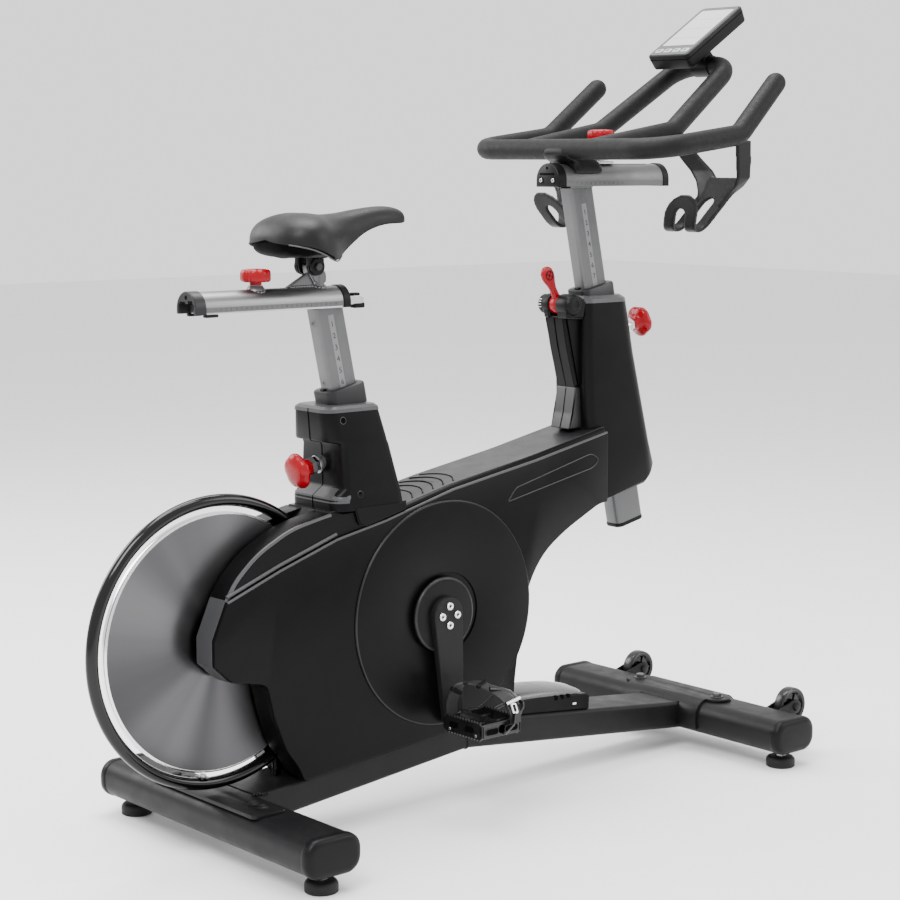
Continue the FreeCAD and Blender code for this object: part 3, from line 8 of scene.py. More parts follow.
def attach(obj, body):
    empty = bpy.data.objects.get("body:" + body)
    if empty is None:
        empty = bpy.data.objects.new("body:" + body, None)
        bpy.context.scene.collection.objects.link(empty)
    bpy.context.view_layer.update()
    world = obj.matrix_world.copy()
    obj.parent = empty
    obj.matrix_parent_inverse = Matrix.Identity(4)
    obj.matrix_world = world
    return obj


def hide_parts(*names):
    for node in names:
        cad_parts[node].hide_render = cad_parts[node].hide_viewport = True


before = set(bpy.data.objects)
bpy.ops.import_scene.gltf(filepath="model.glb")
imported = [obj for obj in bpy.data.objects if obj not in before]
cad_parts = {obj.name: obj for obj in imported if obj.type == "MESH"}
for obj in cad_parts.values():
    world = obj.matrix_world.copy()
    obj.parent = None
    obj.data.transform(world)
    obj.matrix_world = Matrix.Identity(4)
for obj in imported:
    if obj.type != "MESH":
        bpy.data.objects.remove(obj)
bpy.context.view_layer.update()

# Lengths below are millimetres, with x measured from the rear levelling feet,
# as in the model's source; make() turns them into the frame's metres.
ORIGIN_X = 458.0
LEAN = radians(12.0)
HUB = (-9.0, 336.5)
CRANK = (390.0, 338.0)
SEAT_TOP = (209.5, 838.0)
BAR_TOP = (758.0, 1036.0)
BEAM_PEAK = (467.0, 140.0)
WHEELBASE = 1034.0
STAB_MID = 61.0
CRANK_LENGTH = 170
CRANK_TURN = radians(4.0)
PEDAL_NEAR, PEDAL_FAR = 112, 208
TEETH = 12  # along each gripping plate of a pedal
SADDLE_RAIL_Z = 850.0
BAR_RAIL_Z = 1036.0
SEAT_PIN_Z = 613
HEAD_PIN_Z = 770
LEVER_PIVOT = (719, 0, 831)
CLAMP_PIN = (178, 0, 915)
CONSOLE_PIN = (1071, 0, 1280)
CONSOLE_SLOPE = radians(32.5)
ROLLER = (1126, 195.5, 84)
GUARD_RADIUS = 223.5
WHEEL_WELL = 214
MITRE = 0.35  # least cosine at a mitred corner
SIDES = (("right", -1), ("left", 1))
SCENE = bpy.context.scene


# ------------------------------------------------------------------ materials
def node_tree(name):
    mat = bpy.data.materials.new(name)
    mat.use_nodes = True
    nodes, links = mat.node_tree.nodes, mat.node_tree.links
    coords = nodes.new("ShaderNodeTexCoord")
    return mat, nodes, links, nodes["Principled BSDF"], coords.outputs["Object"]


def add(nodes, kind, **values):
    """New shader node with values for its sockets; an underscore stands for a space."""
    node = nodes.new("ShaderNode" + kind)
    put(node, **values)
    return node


def put(node, **values):
    for key, value in values.items():
        node.inputs[key.replace("_", " ")].default_value = value


def maths(nodes, kind, operation):
    node = nodes.new("ShaderNode" + kind)
    node.operation = operation
    return node


def noise_tex(nodes, links, coords, scale, detail=3.0, rough=0.5, stretch=None):
    tex = add(nodes, "TexNoise", Scale=scale, Detail=detail, Roughness=rough)
    if stretch:
        mapping = add(nodes, "Mapping", Scale=stretch)
        links.new(coords, mapping.inputs["Vector"])
        coords = mapping.outputs["Vector"]
    links.new(coords, tex.inputs["Vector"])
    return tex.outputs["Fac"]


def ramp(nodes, links, fac, low, high, a=0.3, b=0.7):
    node = nodes.new("ShaderNodeValToRGB")
    for element, position, color in zip(node.color_ramp.elements, (a, b), (low, high)):
        element.position = position
        element.color = color
    links.new(fac, node.inputs["Fac"])
    return node.outputs["Color"]


def shade(color, k):
    return (color[0] * k, color[1] * k, color[2] * k, 1.0)


POWDER = ((2600.0, 0.00010, "noise"), (900.0, 0.00012, "noise"))
FINE = ((3200.0, 0.00004, "noise"),)


def surface(name, color, rough, metal=0.0, vary=0.18, rough_vary=0.08, grain=FINE, coat=0.0,
            blotch=9.0, specular=0.5, stretch=None):
    """Procedural finish: blotchy colour, uneven gloss and fine bumps.

    grain is a list of (texture scale, bump height in metres, kind)."""
    mat, nodes, links, shader, coords = node_tree(name)
    cloud = noise_tex(nodes, links, coords, blotch, 4.0, 0.55, stretch)
    links.new(ramp(nodes, links, cloud, shade(color, 1 - vary), shade(color, 1 + vary)),
              shader.inputs["Base Color"])
    uneven = noise_tex(nodes, links, coords, blotch * 3.1, 5.0, 0.6, stretch)
    span = add(nodes, "MapRange", From_Min=0.3, From_Max=0.7, To_Min=max(rough - rough_vary, 0.02),
               To_Max=min(rough + rough_vary, 1.0))
    links.new(uneven, span.inputs["Value"])
    links.new(span.outputs["Result"], shader.inputs["Roughness"])
    put(shader, Metallic=metal, Specular_IOR_Level=specular, Coat_Weight=coat, Coat_Roughness=0.08)
    last = None
    for scale, height, kind in grain:
        if kind == "cells":
            tex = add(nodes, "TexVoronoi", Scale=scale)
            links.new(coords, tex.inputs["Vector"])
            fac = tex.outputs["Distance"]
        else:
            fac = noise_tex(nodes, links, coords, scale, 2.0, 0.5, stretch)
        bump = add(nodes, "Bump", Strength=1.0, Distance=height)
        links.new(fac, bump.inputs["Height"])
        if last:
            links.new(last, bump.inputs["Normal"])
        last = bump.outputs["Normal"]
    links.new(last, shader.inputs["Normal"])
    return mat


def polar(nodes, links, coords, centre):
    """Distance from the wheel axis in metres, and the place across it."""
    shift = maths(nodes, "VectorMath", "SUBTRACT")
    shift.inputs[1].default_value = centre
    links.new(coords, shift.inputs[0])
    parts = nodes.new("ShaderNodeSeparateXYZ")
    links.new(shift.outputs["Vector"], parts.inputs["Vector"])
    flat = nodes.new("ShaderNodeCombineXYZ")
    links.new(parts.outputs["X"], flat.inputs["X"])
    links.new(parts.outputs["Z"], flat.inputs["Y"])
    far = maths(nodes, "VectorMath", "LENGTH")
    links.new(flat.outputs["Vector"], far.inputs[0])
    return far.outputs["Value"], flat.outputs["Vector"]


def turned_steel(name, centre):
    """Faced disc: painted sectors of lighter and darker sheen, which stand in for the reflection off its
    turned face, and fine concentric grooves.
    """
    mat, nodes, links, shader, coords = node_tree(name)
    far, flat = polar(nodes, links, coords, centre)
    unit = maths(nodes, "VectorMath", "NORMALIZE")
    links.new(flat, unit.inputs[0])
    # Sectors and streaks round the axis paint the turned face's anisotropic reflection into the base colour.
    sheen_sectors = noise_tex(nodes, links, unit.outputs["Vector"], 1.5, 1.0, 0.4)
    sheen_streaks = noise_tex(nodes, links, unit.outputs["Vector"], 9.0, 3.0, 0.6)
    mix = maths(nodes, "Math", "MULTIPLY_ADD")
    mix.inputs[1].default_value = 0.05
    links.new(sheen_streaks, mix.inputs[0])
    links.new(sheen_sectors, mix.inputs[2])
    dark, light = (0.055, 0.055, 0.059, 1), (0.17, 0.168, 0.172, 1)
    links.new(ramp(nodes, links, mix.outputs["Value"], dark, light, 0.3, 0.85), shader.inputs["Base Color"])
    rings = maths(nodes, "Math", "MULTIPLY")
    rings.inputs[1].default_value = 900.0
    links.new(far, rings.inputs[0])
    line = nodes.new("ShaderNodeCombineXYZ")
    links.new(rings.outputs["Value"], line.inputs["X"])
    grooves = noise_tex(nodes, links, line.outputs["Vector"], 1.0, 3.0, 0.6)
    bump = add(nodes, "Bump", Distance=0.00003)
    links.new(grooves, bump.inputs["Height"])
    links.new(bump.outputs["Normal"], shader.inputs["Normal"])
    span = add(nodes, "MapRange", To_Min=0.24, To_Max=0.38)
    links.new(grooves, span.inputs["Value"])
    links.new(span.outputs["Result"], shader.inputs["Roughness"])
    put(shader, Metallic=1.0, Anisotropic=0.75)
    tangent = nodes.new("ShaderNodeTangent")
    tangent.direction_type = "RADIAL"
    tangent.axis = "Y"
    links.new(tangent.outputs["Tangent"], shader.inputs["Tangent"])
    return mat


M = {
    "powder": surface("black_powder_coat", (0.0055, 0.0055, 0.006), 0.42, specular=0.16, grain=POWDER),
    "frame": surface("black_frame_coat", (0.004, 0.004, 0.0045), 0.5, specular=0.1, grain=POWDER),
    "cover": surface("black_cover_plastic", (0.0018, 0.0018, 0.002), 0.34, specular=0.1, rough_vary=0.05),
    # Paler grey that stands in for light: painted highlights on the covers' bevels, beads, top rims and lips.
    "bevel_highlight": surface("grey_bevel_highlight", (0.034, 0.0345, 0.036), 0.36, specular=0.45, rough_vary=0.05),
    # Dark grey for trim parts, also used for painted highlight lines and for top faces painted lighter as lit
    # from above.
    "grey_trim_and_highlight": surface("grey_trim_and_painted_highlight", (0.008, 0.008, 0.009), 0.33, specular=0.3, rough_vary=0.05),
    # Near black for seams and joints, also used as painted shade in holes, slots, grooves and under the
    # saddle.
    "seam_and_shade": surface("joints_and_painted_shade", (0.001, 0.001, 0.001), 0.6, specular=0.03),
    "satin": surface("satin_black_plastic", (0.003, 0.003, 0.0034), 0.4, specular=0.13,
                     grain=[(1800.0, 0.00006, "noise")]),
    "gloss": surface("gloss_black", (0.002, 0.002, 0.002), 0.13, specular=0.12, coat=0.3, rough_vary=0.04),
    "ring": surface("guard_enamel", (0.001, 0.001, 0.001), 0.14, specular=0.15, coat=0.35,
                    grain=[(700.0, 0.00002, "noise")]),
    "silver": surface("silver_paint", (0.095, 0.096, 0.098), 0.36, metal=0.5, vary=0.07,
                      grain=[(2400.0, 0.00003, "noise")]),
    "rail": surface("polished_rail", (0.20, 0.20, 0.202), 0.37, metal=1.0, vary=0.06,
                    blotch=6.0, stretch=(0.3, 4.0, 4.0)),
    "band": surface("etched_band", (0.12, 0.12, 0.122), 0.4, metal=0.85, vary=0.05),
    "strip": surface("number_strip", (0.15, 0.151, 0.153), 0.45, metal=0.3, vary=0.04),
    # Near black for print, also used as painted shade in screw sockets and holes.
    "print_and_hole_shade": surface("printed_marks_and_hole_shade", (0.012, 0.012, 0.012), 0.6),
    "white": surface("white_marks", (0.75, 0.75, 0.74), 0.5, vary=0.03),
    "chrome": surface("bright_chrome", (0.72, 0.72, 0.73), 0.12, metal=1.0, vary=0.05, rough_vary=0.05),
    "rim": surface("polished_rim", (0.82, 0.82, 0.83), 0.09, metal=1.0, vary=0.03, rough_vary=0.04),
    "zinc": surface("zinc_plate", (0.55, 0.55, 0.56), 0.3, metal=1.0, vary=0.12),
    "foam": surface("handlebar_foam", (0.004, 0.004, 0.0044), 0.56, specular=0.17, vary=0.22, blotch=40.0,
                    grain=[(700.0, 0.00014, "cells"), (1900.0, 0.00010, "noise")]),
    "red": surface("red_gloss_plastic", (0.22, 0.0002, 0.0045), 0.24, specular=0.16, coat=0.1, vary=0.08),
    "rubber": surface("foot_rubber", (0.006, 0.006, 0.006), 0.6, specular=0.25,
                      grain=[(1200.0, 0.00015, "noise")]),
    "tread": surface("grey_tread", (0.012, 0.012, 0.012), 0.2, specular=0.35, vary=0.1),
    "leather": surface("saddle_cover", (0.0045, 0.0045, 0.005), 0.43, specular=0.2, vary=0.08,
                       rough_vary=0.06, grain=[(1500.0, 0.00008, "cells"), (300.0, 0.00006, "noise")]),
    "pedal": surface("pedal_plastic", (0.004, 0.004, 0.0045), 0.3, specular=0.35, coat=0.15),
    "strap": surface("woven_strap", (0.013, 0.013, 0.0135), 0.45, specular=0.35,
                     grain=[(1400.0, 0.0002, "cells")]),
    "lcd": surface("display_window", (0.42, 0.44, 0.42), 0.12, vary=0.05, coat=0.8),
    "bezel": surface("display_bezel", (0.06, 0.061, 0.064), 0.3, vary=0.06),
    "key": surface("soft_keys", (0.30, 0.305, 0.31), 0.4, vary=0.06),
    "belt": surface("belt_rubber", (0.015, 0.015, 0.015), 0.6, grain=[(1200.0, 0.0001, "noise")]),
    "iron": surface("machined_iron", (0.20, 0.20, 0.21), 0.4, metal=0.9),
    # Pale grey for the top of the beam housing: painted light from above.
    "lit": surface("pale_grey_lit_shell", (0.09, 0.09, 0.094), 0.28, coat=0.3, vary=0.06),
    "brushed": surface("brushed_rail", (0.13, 0.13, 0.132), 0.44, metal=0.8, vary=0.06),
    "mark": surface("dark_red_marks", (0.03, 0.0002, 0.001), 0.45, specular=0.1),
    "dull": surface("dull_bolt_steel", (0.10, 0.10, 0.10), 0.4, metal=0.8),
    "disc": turned_steel("turned_flywheel_face", ((HUB[0] - ORIGIN_X) / 1000, 0.0, HUB[1] / 1000)),
    "block": surface("dark_grey_block", (0.009, 0.009, 0.0097), 0.4),
    "holder": surface("holder_plastic", (0.0045, 0.0045, 0.005), 0.42, specular=0.2,
                      grain=[(1500.0, 0.00008, "noise")]),
}


# ------------------------------------------------------------ outline helpers
QUAD = ((-1, -1), (1, -1), (1, 1), (-1, 1))


def xz(a, b, c):
    return a, c, b


def yz(a, b, c):
    return c, a, b


def xy(a, b, c):
    return a, b, c


def on_axis(top, z):
    return top[0] + (top[1] - z) * tan(LEAN)


def post_frame(top, z):
    """Local axes of a leaning post: a along its long side, b across, c up."""
    x0 = on_axis(top, z)

    def place(a, b, c):
        return (x0 + a * cos(LEAN) - c * sin(LEAN), b, z + a * sin(LEAN) + c * cos(LEAN))
    return place


def aim(origin, direction, side=(0, 1, 0)):
    """Local axes with c along direction."""
    w = Vector(direction).normalized()
    v = Vector(side)
    u = v.cross(w).normalized()
    v = w.cross(u)
    o = Vector(origin)

    def place(a, b, c):
        return tuple(o + u * a + v * b + w * c)
    return place


def sideways(origin, s=1):
    """Local axes with c sideways, to the left for s = 1 and to the right for -1."""
    return aim(origin, (0, s, 0), (0, 0, 1))


def upright(origin):
    return aim(origin, (0, 0, 1))


def rounded_rect(width, depth, radius, steps=5, x=0.0, y=0.0):
    """Rectangle with round corners, centred on (x, y)."""
    w, d = width / 2 - radius, depth / 2 - radius
    pts = []
    for cx, cy, turn in ((w, d, 0), (-w, d, 90), (-w, -d, 180), (w, -d, 270)):
        for i in range(steps + 1):
            a = radians(turn + 90 * i / steps)
            pts.append((x + (cx + radius * cos(a)), y + (cy + radius * sin(a))))
    return pts


def area(pts):
    return sum(a[0] * b[1] - b[0] * a[1] for a, b in zip(pts, pts[1:] + pts[:1])) / 2


def inset(pts, dist):
    """Outline moved inwards by dist (mitred)."""
    sign = 1.0 if area(pts) > 0 else -1.0
    out = []
    count = len(pts)
    for i, p in enumerate(pts):
        a, b = pts[i - 1], pts[(i + 1) % count]
        u = Vector((p[0] - a[0], p[1] - a[1]))
        w = Vector((b[0] - p[0], b[1] - p[1]))
        if u.length < 1e-9 or w.length < 1e-9:
            out.append(p)
            continue
        n = Vector((-u.y, u.x)).normalized() + Vector((-w.y, w.x)).normalized()
        if n.length < 1e-6:
            out.append(p)
            continue
        n.normalize()
        scale = dist * sign / max(n.dot(Vector((-u.y, u.x)).normalized()), MITRE)
        out.append((p[0] + n.x * scale, p[1] + n.y * scale))
    return out


def round_corners(pts, radius, steps=4):
    """Polygon with each corner cut by a smooth arc; radius is a number or one per corner."""
    out = []
    count = len(pts)
    radii = radius if isinstance(radius, (list, tuple)) else [radius] * count
    for i, p in enumerate(pts):
        a = Vector(pts[i - 1]) - Vector(p)
        b = Vector(pts[(i + 1) % count]) - Vector(p)
        r = min(radii[i], a.length * 0.48, b.length * 0.48)
        if r < 0.05:
            out.append(tuple(p))
            continue
        start, end = Vector(p) + a.normalized() * r, Vector(p) + b.normalized() * r
        for k in range(steps + 1):
            t = k / steps
            q = start * (1 - t) ** 2 + Vector(p) * 2 * t * (1 - t) + end * t * t
            out.append((q[0], q[1]))
    return out


def arc_path(points, bends, steps=10):
    """Straight runs joined by tangent arcs, as a list of points."""
    pts = [Vector(p) for p in points]
    out = [pts[0]]
    for i, bend in enumerate(bends, start=1):
        u = (pts[i - 1] - pts[i]).normalized()
        w = (pts[i + 1] - pts[i]).normalized()
        half = u.angle(w) / 2
        reach = bend / tan(half)
        centre = pts[i] + (u + w).normalized() * (bend / sin(half))
        a, b = pts[i] + u * reach - centre, pts[i] + w * reach - centre
        total = a.angle(b)
        axis = a.cross(b).normalized()
        for k in range(steps + 1):
            out.append(centre + Matrix.Rotation(total * k / steps, 3, axis) @ a)
    out.append(pts[-1])
    return out


# --------------------------------------------------------------- mesh builder
def linked(name, data):
    obj = bpy.data.objects.new(name, data)
    SCENE.collection.objects.link(obj)
    return obj


class Geo:
    """Collects closed shapes, then becomes one named piece."""

    def __init__(self):
        self.verts, self.faces, self.mats, self.names = [], [], [], []

    def slot(self, mat):
        if mat not in self.names:
            self.names.append(mat)
        return self.names.index(mat)

    def loft(self, rings, mat, closed=False):
        """Skin over rings of equal length, with flat ends unless it closes on itself."""
        base = len(self.verts)
        n = len(rings[0])
        m = self.slot(mat)
        for ring in rings:
            self.verts += [tuple(p) for p in ring]
        rows = len(rings)
        for r in range(rows if closed else rows - 1):
            s = (r + 1) % rows
            for i in range(n):
                j = (i + 1) % n
                self.faces.append((base + r * n + i, base + r * n + j, base + s * n + j, base + s * n + i))
                self.mats.append(m)
        if not closed:
            self.faces.append(tuple(base + i for i in range(n)))
            self.faces.append(tuple(base + (rows - 1) * n + i for i in range(n)))
            self.mats += [m, m]

    def prism(self, pts, c0, c1, mat, place=xz, bevel=1.0, steps=2):
        """Extruded outline with rounded rims."""
        depth = [(0.0, bevel)]
        for k in range(1, steps + 1):
            a = pi / 2 * k / steps
            depth.append((bevel * sin(a) if k < steps else bevel, bevel * cos(a) if k < steps else 0.0))
        sgn = 1 if c1 > c0 else -1
        rings = [[place(a, b, c0 + sgn * d) for a, b in inset(pts, w)] for d, w in depth]
        rings += [[place(a, b, c1 - sgn * d) for a, b in inset(pts, w)] for d, w in reversed(depth)]
        self.loft(rings, mat)

    def box(self, x0, x1, y0, y1, z0, z1, mat, bevel=1.0, corner=None, place=xy):
        r = corner if corner is not None else bevel
        cx, cy = (x0 + x1) / 2, (y0 + y1) / 2
        pts = rounded_rect(x1 - x0, y1 - y0, max(r, 0.05), 3, cx, cy)
        self.prism(pts, z0, z1, mat, place, bevel)

    def tube(self, path, radius, mat, steps=20, dome=False, squash=1.0):
        pts = [Vector(p) for p in path]
        clean = [pts[0]]
        for p in pts[1:]:
            if (p - clean[-1]).length > 0.01:
                clean.append(p)
        pts = clean
        radii = radius if callable(radius) else (lambda t: radius)
        total = sum((b - a).length for a, b in zip(pts, pts[1:]))
        t0 = (pts[1] - pts[0]).normalized()
        side = t0.orthogonal().normalized()
        rings, run, last = [], 0.0, t0
        for i, p in enumerate(pts):
            t = (pts[min(i + 1, len(pts) - 1)] - pts[max(i - 1, 0)]).normalized()
            axis = last.cross(t)
            if axis.length > 1e-7:
                side = Matrix.Rotation(last.angle(t), 3, axis.normalized()) @ side
            last = t
            up = t.cross(side).normalized()
            if i:
                run += (p - pts[i - 1]).length
            r = radii(run / total)
            rings.append([p + (side * cos(a) + up * sin(a) * squash) * r
                          for a in (2 * pi * k / steps for k in range(steps))])
        if dome:
            rings = self.domed(rings, pts, 0) + rings + self.domed(rings, pts, -1)
        self.loft(rings, mat)

    @staticmethod
    def domed(rings, pts, end):
        centre, ring = pts[end], rings[end]
        other = pts[1] if end == 0 else pts[-2]
        out = (centre - other).normalized()
        r = (ring[0] - centre).length
        extra = []
        for k in range(1, 6):
            a = pi / 2 * k / 5.2
            extra.append([centre + (p - centre) * cos(a) + out * r * sin(a) for p in ring])
        return extra[::-1] if end == 0 else extra

    def lathe(self, profile, place, mat, steps=48, lobes=0, depth=0.0):
        """Closed profile of (radius, height) turned about the local c axis."""
        rings = []
        for r, h in profile:
            ring = []
            for i in range(steps):
                a = 2 * pi * i / steps
                k = 1 - depth * (0.5 - 0.5 * cos(lobes * a)) ** 2 * min(r / 20.0, 1.0) if lobes else 1.0
                ring.append(place(r * k * cos(a), r * k * sin(a), h))
            rings.append(ring)
        self.loft(rings, mat)

    def rod(self, radius, c0, c1, place, mat, steps=48, core=0.5):
        """Plain turned pin from c0 to c1 along the local c axis."""
        self.lathe([(core, c0), (radius, c0), (radius, c1), (core, c1)], place, mat, steps)

    def ring(self, profile, place, mat, steps=64):
        """Profile loop turned about the axis, with no end faces."""
        rings = []
        for r, h in profile:
            rings.append([place(r * cos(2 * pi * i / steps), r * sin(2 * pi * i / steps), h)
                          for i in range(steps)])
        self.loft(rings, mat, closed=True)

    def hexagon(self, across, c0, c1, mat, place, bevel=0.6):
        r = across / sqrt(3)
        pts = [(r * cos(radians(60 * i)), r * sin(radians(60 * i))) for i in range(6)]
        self.prism(pts, c0, c1, mat, place, bevel)

    def socket_screw(self, place, r, mat="zinc", height=2.5):
        self.lathe([(r * 0.55, height), (r * 0.9, height), (r, height * 0.6), (r, 0)], place, mat, 24)
        # The dark hexagon is painted shade inside the screw's socket.
        self.hexagon(r * 0.95, height * 0.2, height + 0.15, "print_and_hole_shade", place, 0.1)

    def hole(self, place, r):
        """Countersunk screw well in a cover: a paler lip of painted highlight round a dark mouth of painted
        shade.
        """
        self.ring([(r - 0.2, 0.35), (r + 0.5, 0.1), (r + 0.6, -0.8), (r - 0.2, -0.8)], place, "bevel_highlight",
                  28)
        self.lathe([(0.4, 0.25), (r, 0.2), (r, -1.0)], place, "seam_and_shade", 28)

    def dot(self, place, r):
        """Small screw hole, drawn as a dark disc of painted shade."""
        self.lathe([(0.3, 0.25), (r, 0.2), (r, -0.5)], place, "seam_and_shade", 20)

    def make(self, name, body, replaces=(), sharp=32.0):
        me = bpy.data.meshes.new(name)
        verts = [((x - ORIGIN_X) / 1000, y / 1000, z / 1000) for x, y, z in self.verts]
        me.from_pydata(verts, [], self.faces)
        for mat in self.names:
            me.materials.append(M[mat])
        me.polygons.foreach_set("material_index", self.mats)
        bm = bmesh.new()
        bm.from_mesh(me)
        bmesh.ops.recalc_face_normals(bm, faces=bm.faces)
        bm.to_mesh(me)
        bm.free()
        me.shade_smooth()
        me.set_sharp_from_angle(angle=radians(sharp))
        obj = linked(name, me)
        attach(obj, body)
        if replaces:
            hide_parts(*replaces)
        return obj


def apply(obj, *kinds):
    """Adds modifiers given as (type, settings) and makes them permanent."""
    for kind, settings in kinds:
        mod = obj.modifiers.new(kind.lower(), kind)
        for key, value in settings.items():
            setattr(mod, key, value)
    graph = bpy.context.evaluated_depsgraph_get()
    me = bpy.data.meshes.new_from_object(obj.evaluated_get(graph))
    mats = [m for m in obj.data.materials]
    obj.modifiers.clear()
    obj.data = me
    if not len(me.materials):
        for m in mats:
            me.materials.append(m)
    me.shade_smooth()
    return obj


def soften(obj, voxel, rounds, factor=0.5):
    """Fuses overlapping shapes and rounds their edges, like one moulding."""
    return apply(obj, ("REMESH", {"mode": "VOXEL", "voxel_size": voxel / 1000}),
                 ("SMOOTH", {"factor": factor, "iterations": rounds}))


def from_cad(node, name, mat, body, width=0.8, angle=38.0, segments=2):
    """Copy of a CAD node whose hard edges are rounded."""
    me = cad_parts[node].data.copy()
    bm = bmesh.new()
    bm.from_mesh(me)
    bmesh.ops.remove_doubles(bm, verts=bm.verts, dist=1e-6)
    bmesh.ops.dissolve_limit(bm, angle_limit=radians(1.5), verts=bm.verts, edges=bm.edges)
    bm.to_mesh(me)
    bm.free()
    me.materials.clear()
    me.materials.append(M[mat])
    obj = linked(name, me)
    apply(obj, ("BEVEL", {"width": width / 1000, "segments": segments, "limit_method": "ANGLE",
                          "angle_limit": radians(angle), "use_clamp_overlap": True}))
    obj.data.set_sharp_from_angle(angle=radians(40))
    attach(obj, body)
    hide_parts(node)
    return obj


def keep(node, mat):
    """Carried-over CAD node with a better finish."""
    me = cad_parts[node].data
    if not len(me.materials):
        me.materials.append(M[mat])
    for i in range(len(me.materials)):
        me.materials[i] = M[mat]


def digits(g, text, size, place, mat="print_and_hole_shade", lift=0.12):
    """Number printed on a face; a is to the right and b is up."""
    curve = bpy.data.curves.new("digits", "FONT")
    curve.body = text
    curve.size = size
    curve.align_x = "CENTER"
    curve.align_y = "CENTER"
    curve.extrude = lift
    curve.resolution_u = 3
    tmp = linked("digits", curve)
    graph = bpy.context.evaluated_depsgraph_get()
    me = bpy.data.meshes.new_from_object(tmp.evaluated_get(graph))
    base = len(g.verts)
    g.verts += [place(v.co.x, v.co.y, v.co.z) for v in me.vertices]
    m = g.slot(mat)
    for poly in me.polygons:
        g.faces.append(tuple(base + i for i in poly.vertices))
        g.mats.append(m)
    bpy.data.objects.remove(tmp)
    bpy.data.curves.remove(curve)
    bpy.data.meshes.remove(me)


# ------------------------------------------------------------------ the base
def beam_top(x):
    return BEAM_PEAK[1] - abs(x - BEAM_PEAK[0]) * tan(radians(6.0))


def oval(x, y, grow):
    return [(x + a, y, STAB_MID + b) for a, b in rounded_rect(100 + 2 * grow, 60 + 2 * grow, 25 + grow, 8)]


def stabilisers():
    for name, x in (("rear_stabiliser", 0.0), ("front_stabiliser", WHEELBASE)):
        g = Geo()
        g.loft([oval(x, -276, 0), oval(x, 276, 0)], "powder")
        g.make(name + "_tube", "base", [name])
    g = Geo()
    for x in (0.0, WHEELBASE):
        for s in (-1, 1):
            steps = [(272, 0.3), (274.5, 1.1), (276, 1.3), (281, 1.3), (285.5, 0.4), (288.6, -2.2),
                     (290.3, -6), (291, -11)]
            g.loft([oval(x, s * y, w) for y, w in steps], "satin")
            g.loft([oval(x, s * 274.2, 0.5), oval(x, s * 273.4, 0.5)], "seam_and_shade")
    g.make("stabiliser_end_caps", "base", ["stabiliser_caps"])


def weld(g, path, r, mat="powder", pitch=5.0):
    """Row of overlapping weld ripples along a path."""
    pts = [Vector(p) for p in path]
    for a, b in zip(pts, pts[1:]):
        count = max(int((b - a).length / pitch), 1)
        for k in range(count):
            t = (k + 0.5) / count
            c = a.lerp(b, t)
            place = aim(c, (b - a), (0, 1, 0) if abs((b - a).normalized().y) < 0.9 else (1, 0, 0))
            g.lathe([(0.2, -pitch * 0.55), (r * 0.8, -pitch * 0.4), (r, 0), (r * 0.85, pitch * 0.4),
                     (0.2, pitch * 0.55)], place, mat, 10)


def base_frame():
    g = Geo()
    rings = []
    for x in (30.0, 250.0, 466.0, 468.0, 740.0, 1004.0):
        rings.append([(x, a, beam_top(x) - 25 + b) for a, b in rounded_rect(100, 50, 8)])
    g.loft(rings, "powder")
    around = [(467, a, 139.5 - 25 + b) for a, b in rounded_rect(99, 50, 8, 3)]
    weld(g, around, 2.4, pitch=6.0)
    g.make("base_beam", "base", ["base_beams"])
    g = Geo()
    for s in (-1, 1):
        weld(g, [(52, s * 51, beam_top(52) - 2), (19, s * 51, 97.5)], 2.4)
    g.make("rear_plate_welds", "base")
    from_cad("base_brackets", "base_bracket_set", "powder", "base", 1.2)
    g = Geo()
    for y in (-120, -95, 95, 120):
        place = upright((-8, y, 97))
        g.lathe([(10.5, 0), (10.5, 1.2), (9.8, 1.5), (8.4, 1.6), (8.0, 3.2), (6.4, 4.6), (3.0, 5.2),
                 (0.3, 5.3)], place, "powder", 32)
        # The dark hexagon is painted shade in the bolt's socket.
        g.hexagon(5, 3.0, 5.4, "print_and_hole_shade", place, 0.1)
    for s in (-1, 1):
        place = upright((WHEELBASE, s * 99, 96))
        g.lathe([(11, 0), (11, 1.6), (9.6, 2.0), (0.3, 2.0)], place, "dull", 32)
        g.hexagon(15, 2.0, 8.0, "dull", place, 1.0)
    g.make("base_bolt_heads", "base", ["base_bolts"])


def feet():
    for end, x in (("rear", 0.0), ("front", WHEELBASE)):
        for side, y in (("right", -255.0), ("left", 255.0)):
            place = upright((x, y, 0))
            g = Geo()
            g.lathe([(0.5, 0), (24.2, 0), (25.6, 1.0), (26, 2.6), (25.4, 4.2), (26, 5.8), (26, 11.5),
                     (25.2, 14.6), (22.8, 17.6), (20.5, 18.8), (11, 19), (0.5, 19)], place, "rubber")
            g.hexagon(17, 19, 25.5, "zinc", place, 0.8)
            g.rod(5, 25, 46, place, "zinc", 20)
            node = end + "_" + side + "_foot"
            g.make(node + "_pad", node + "_group", [node])


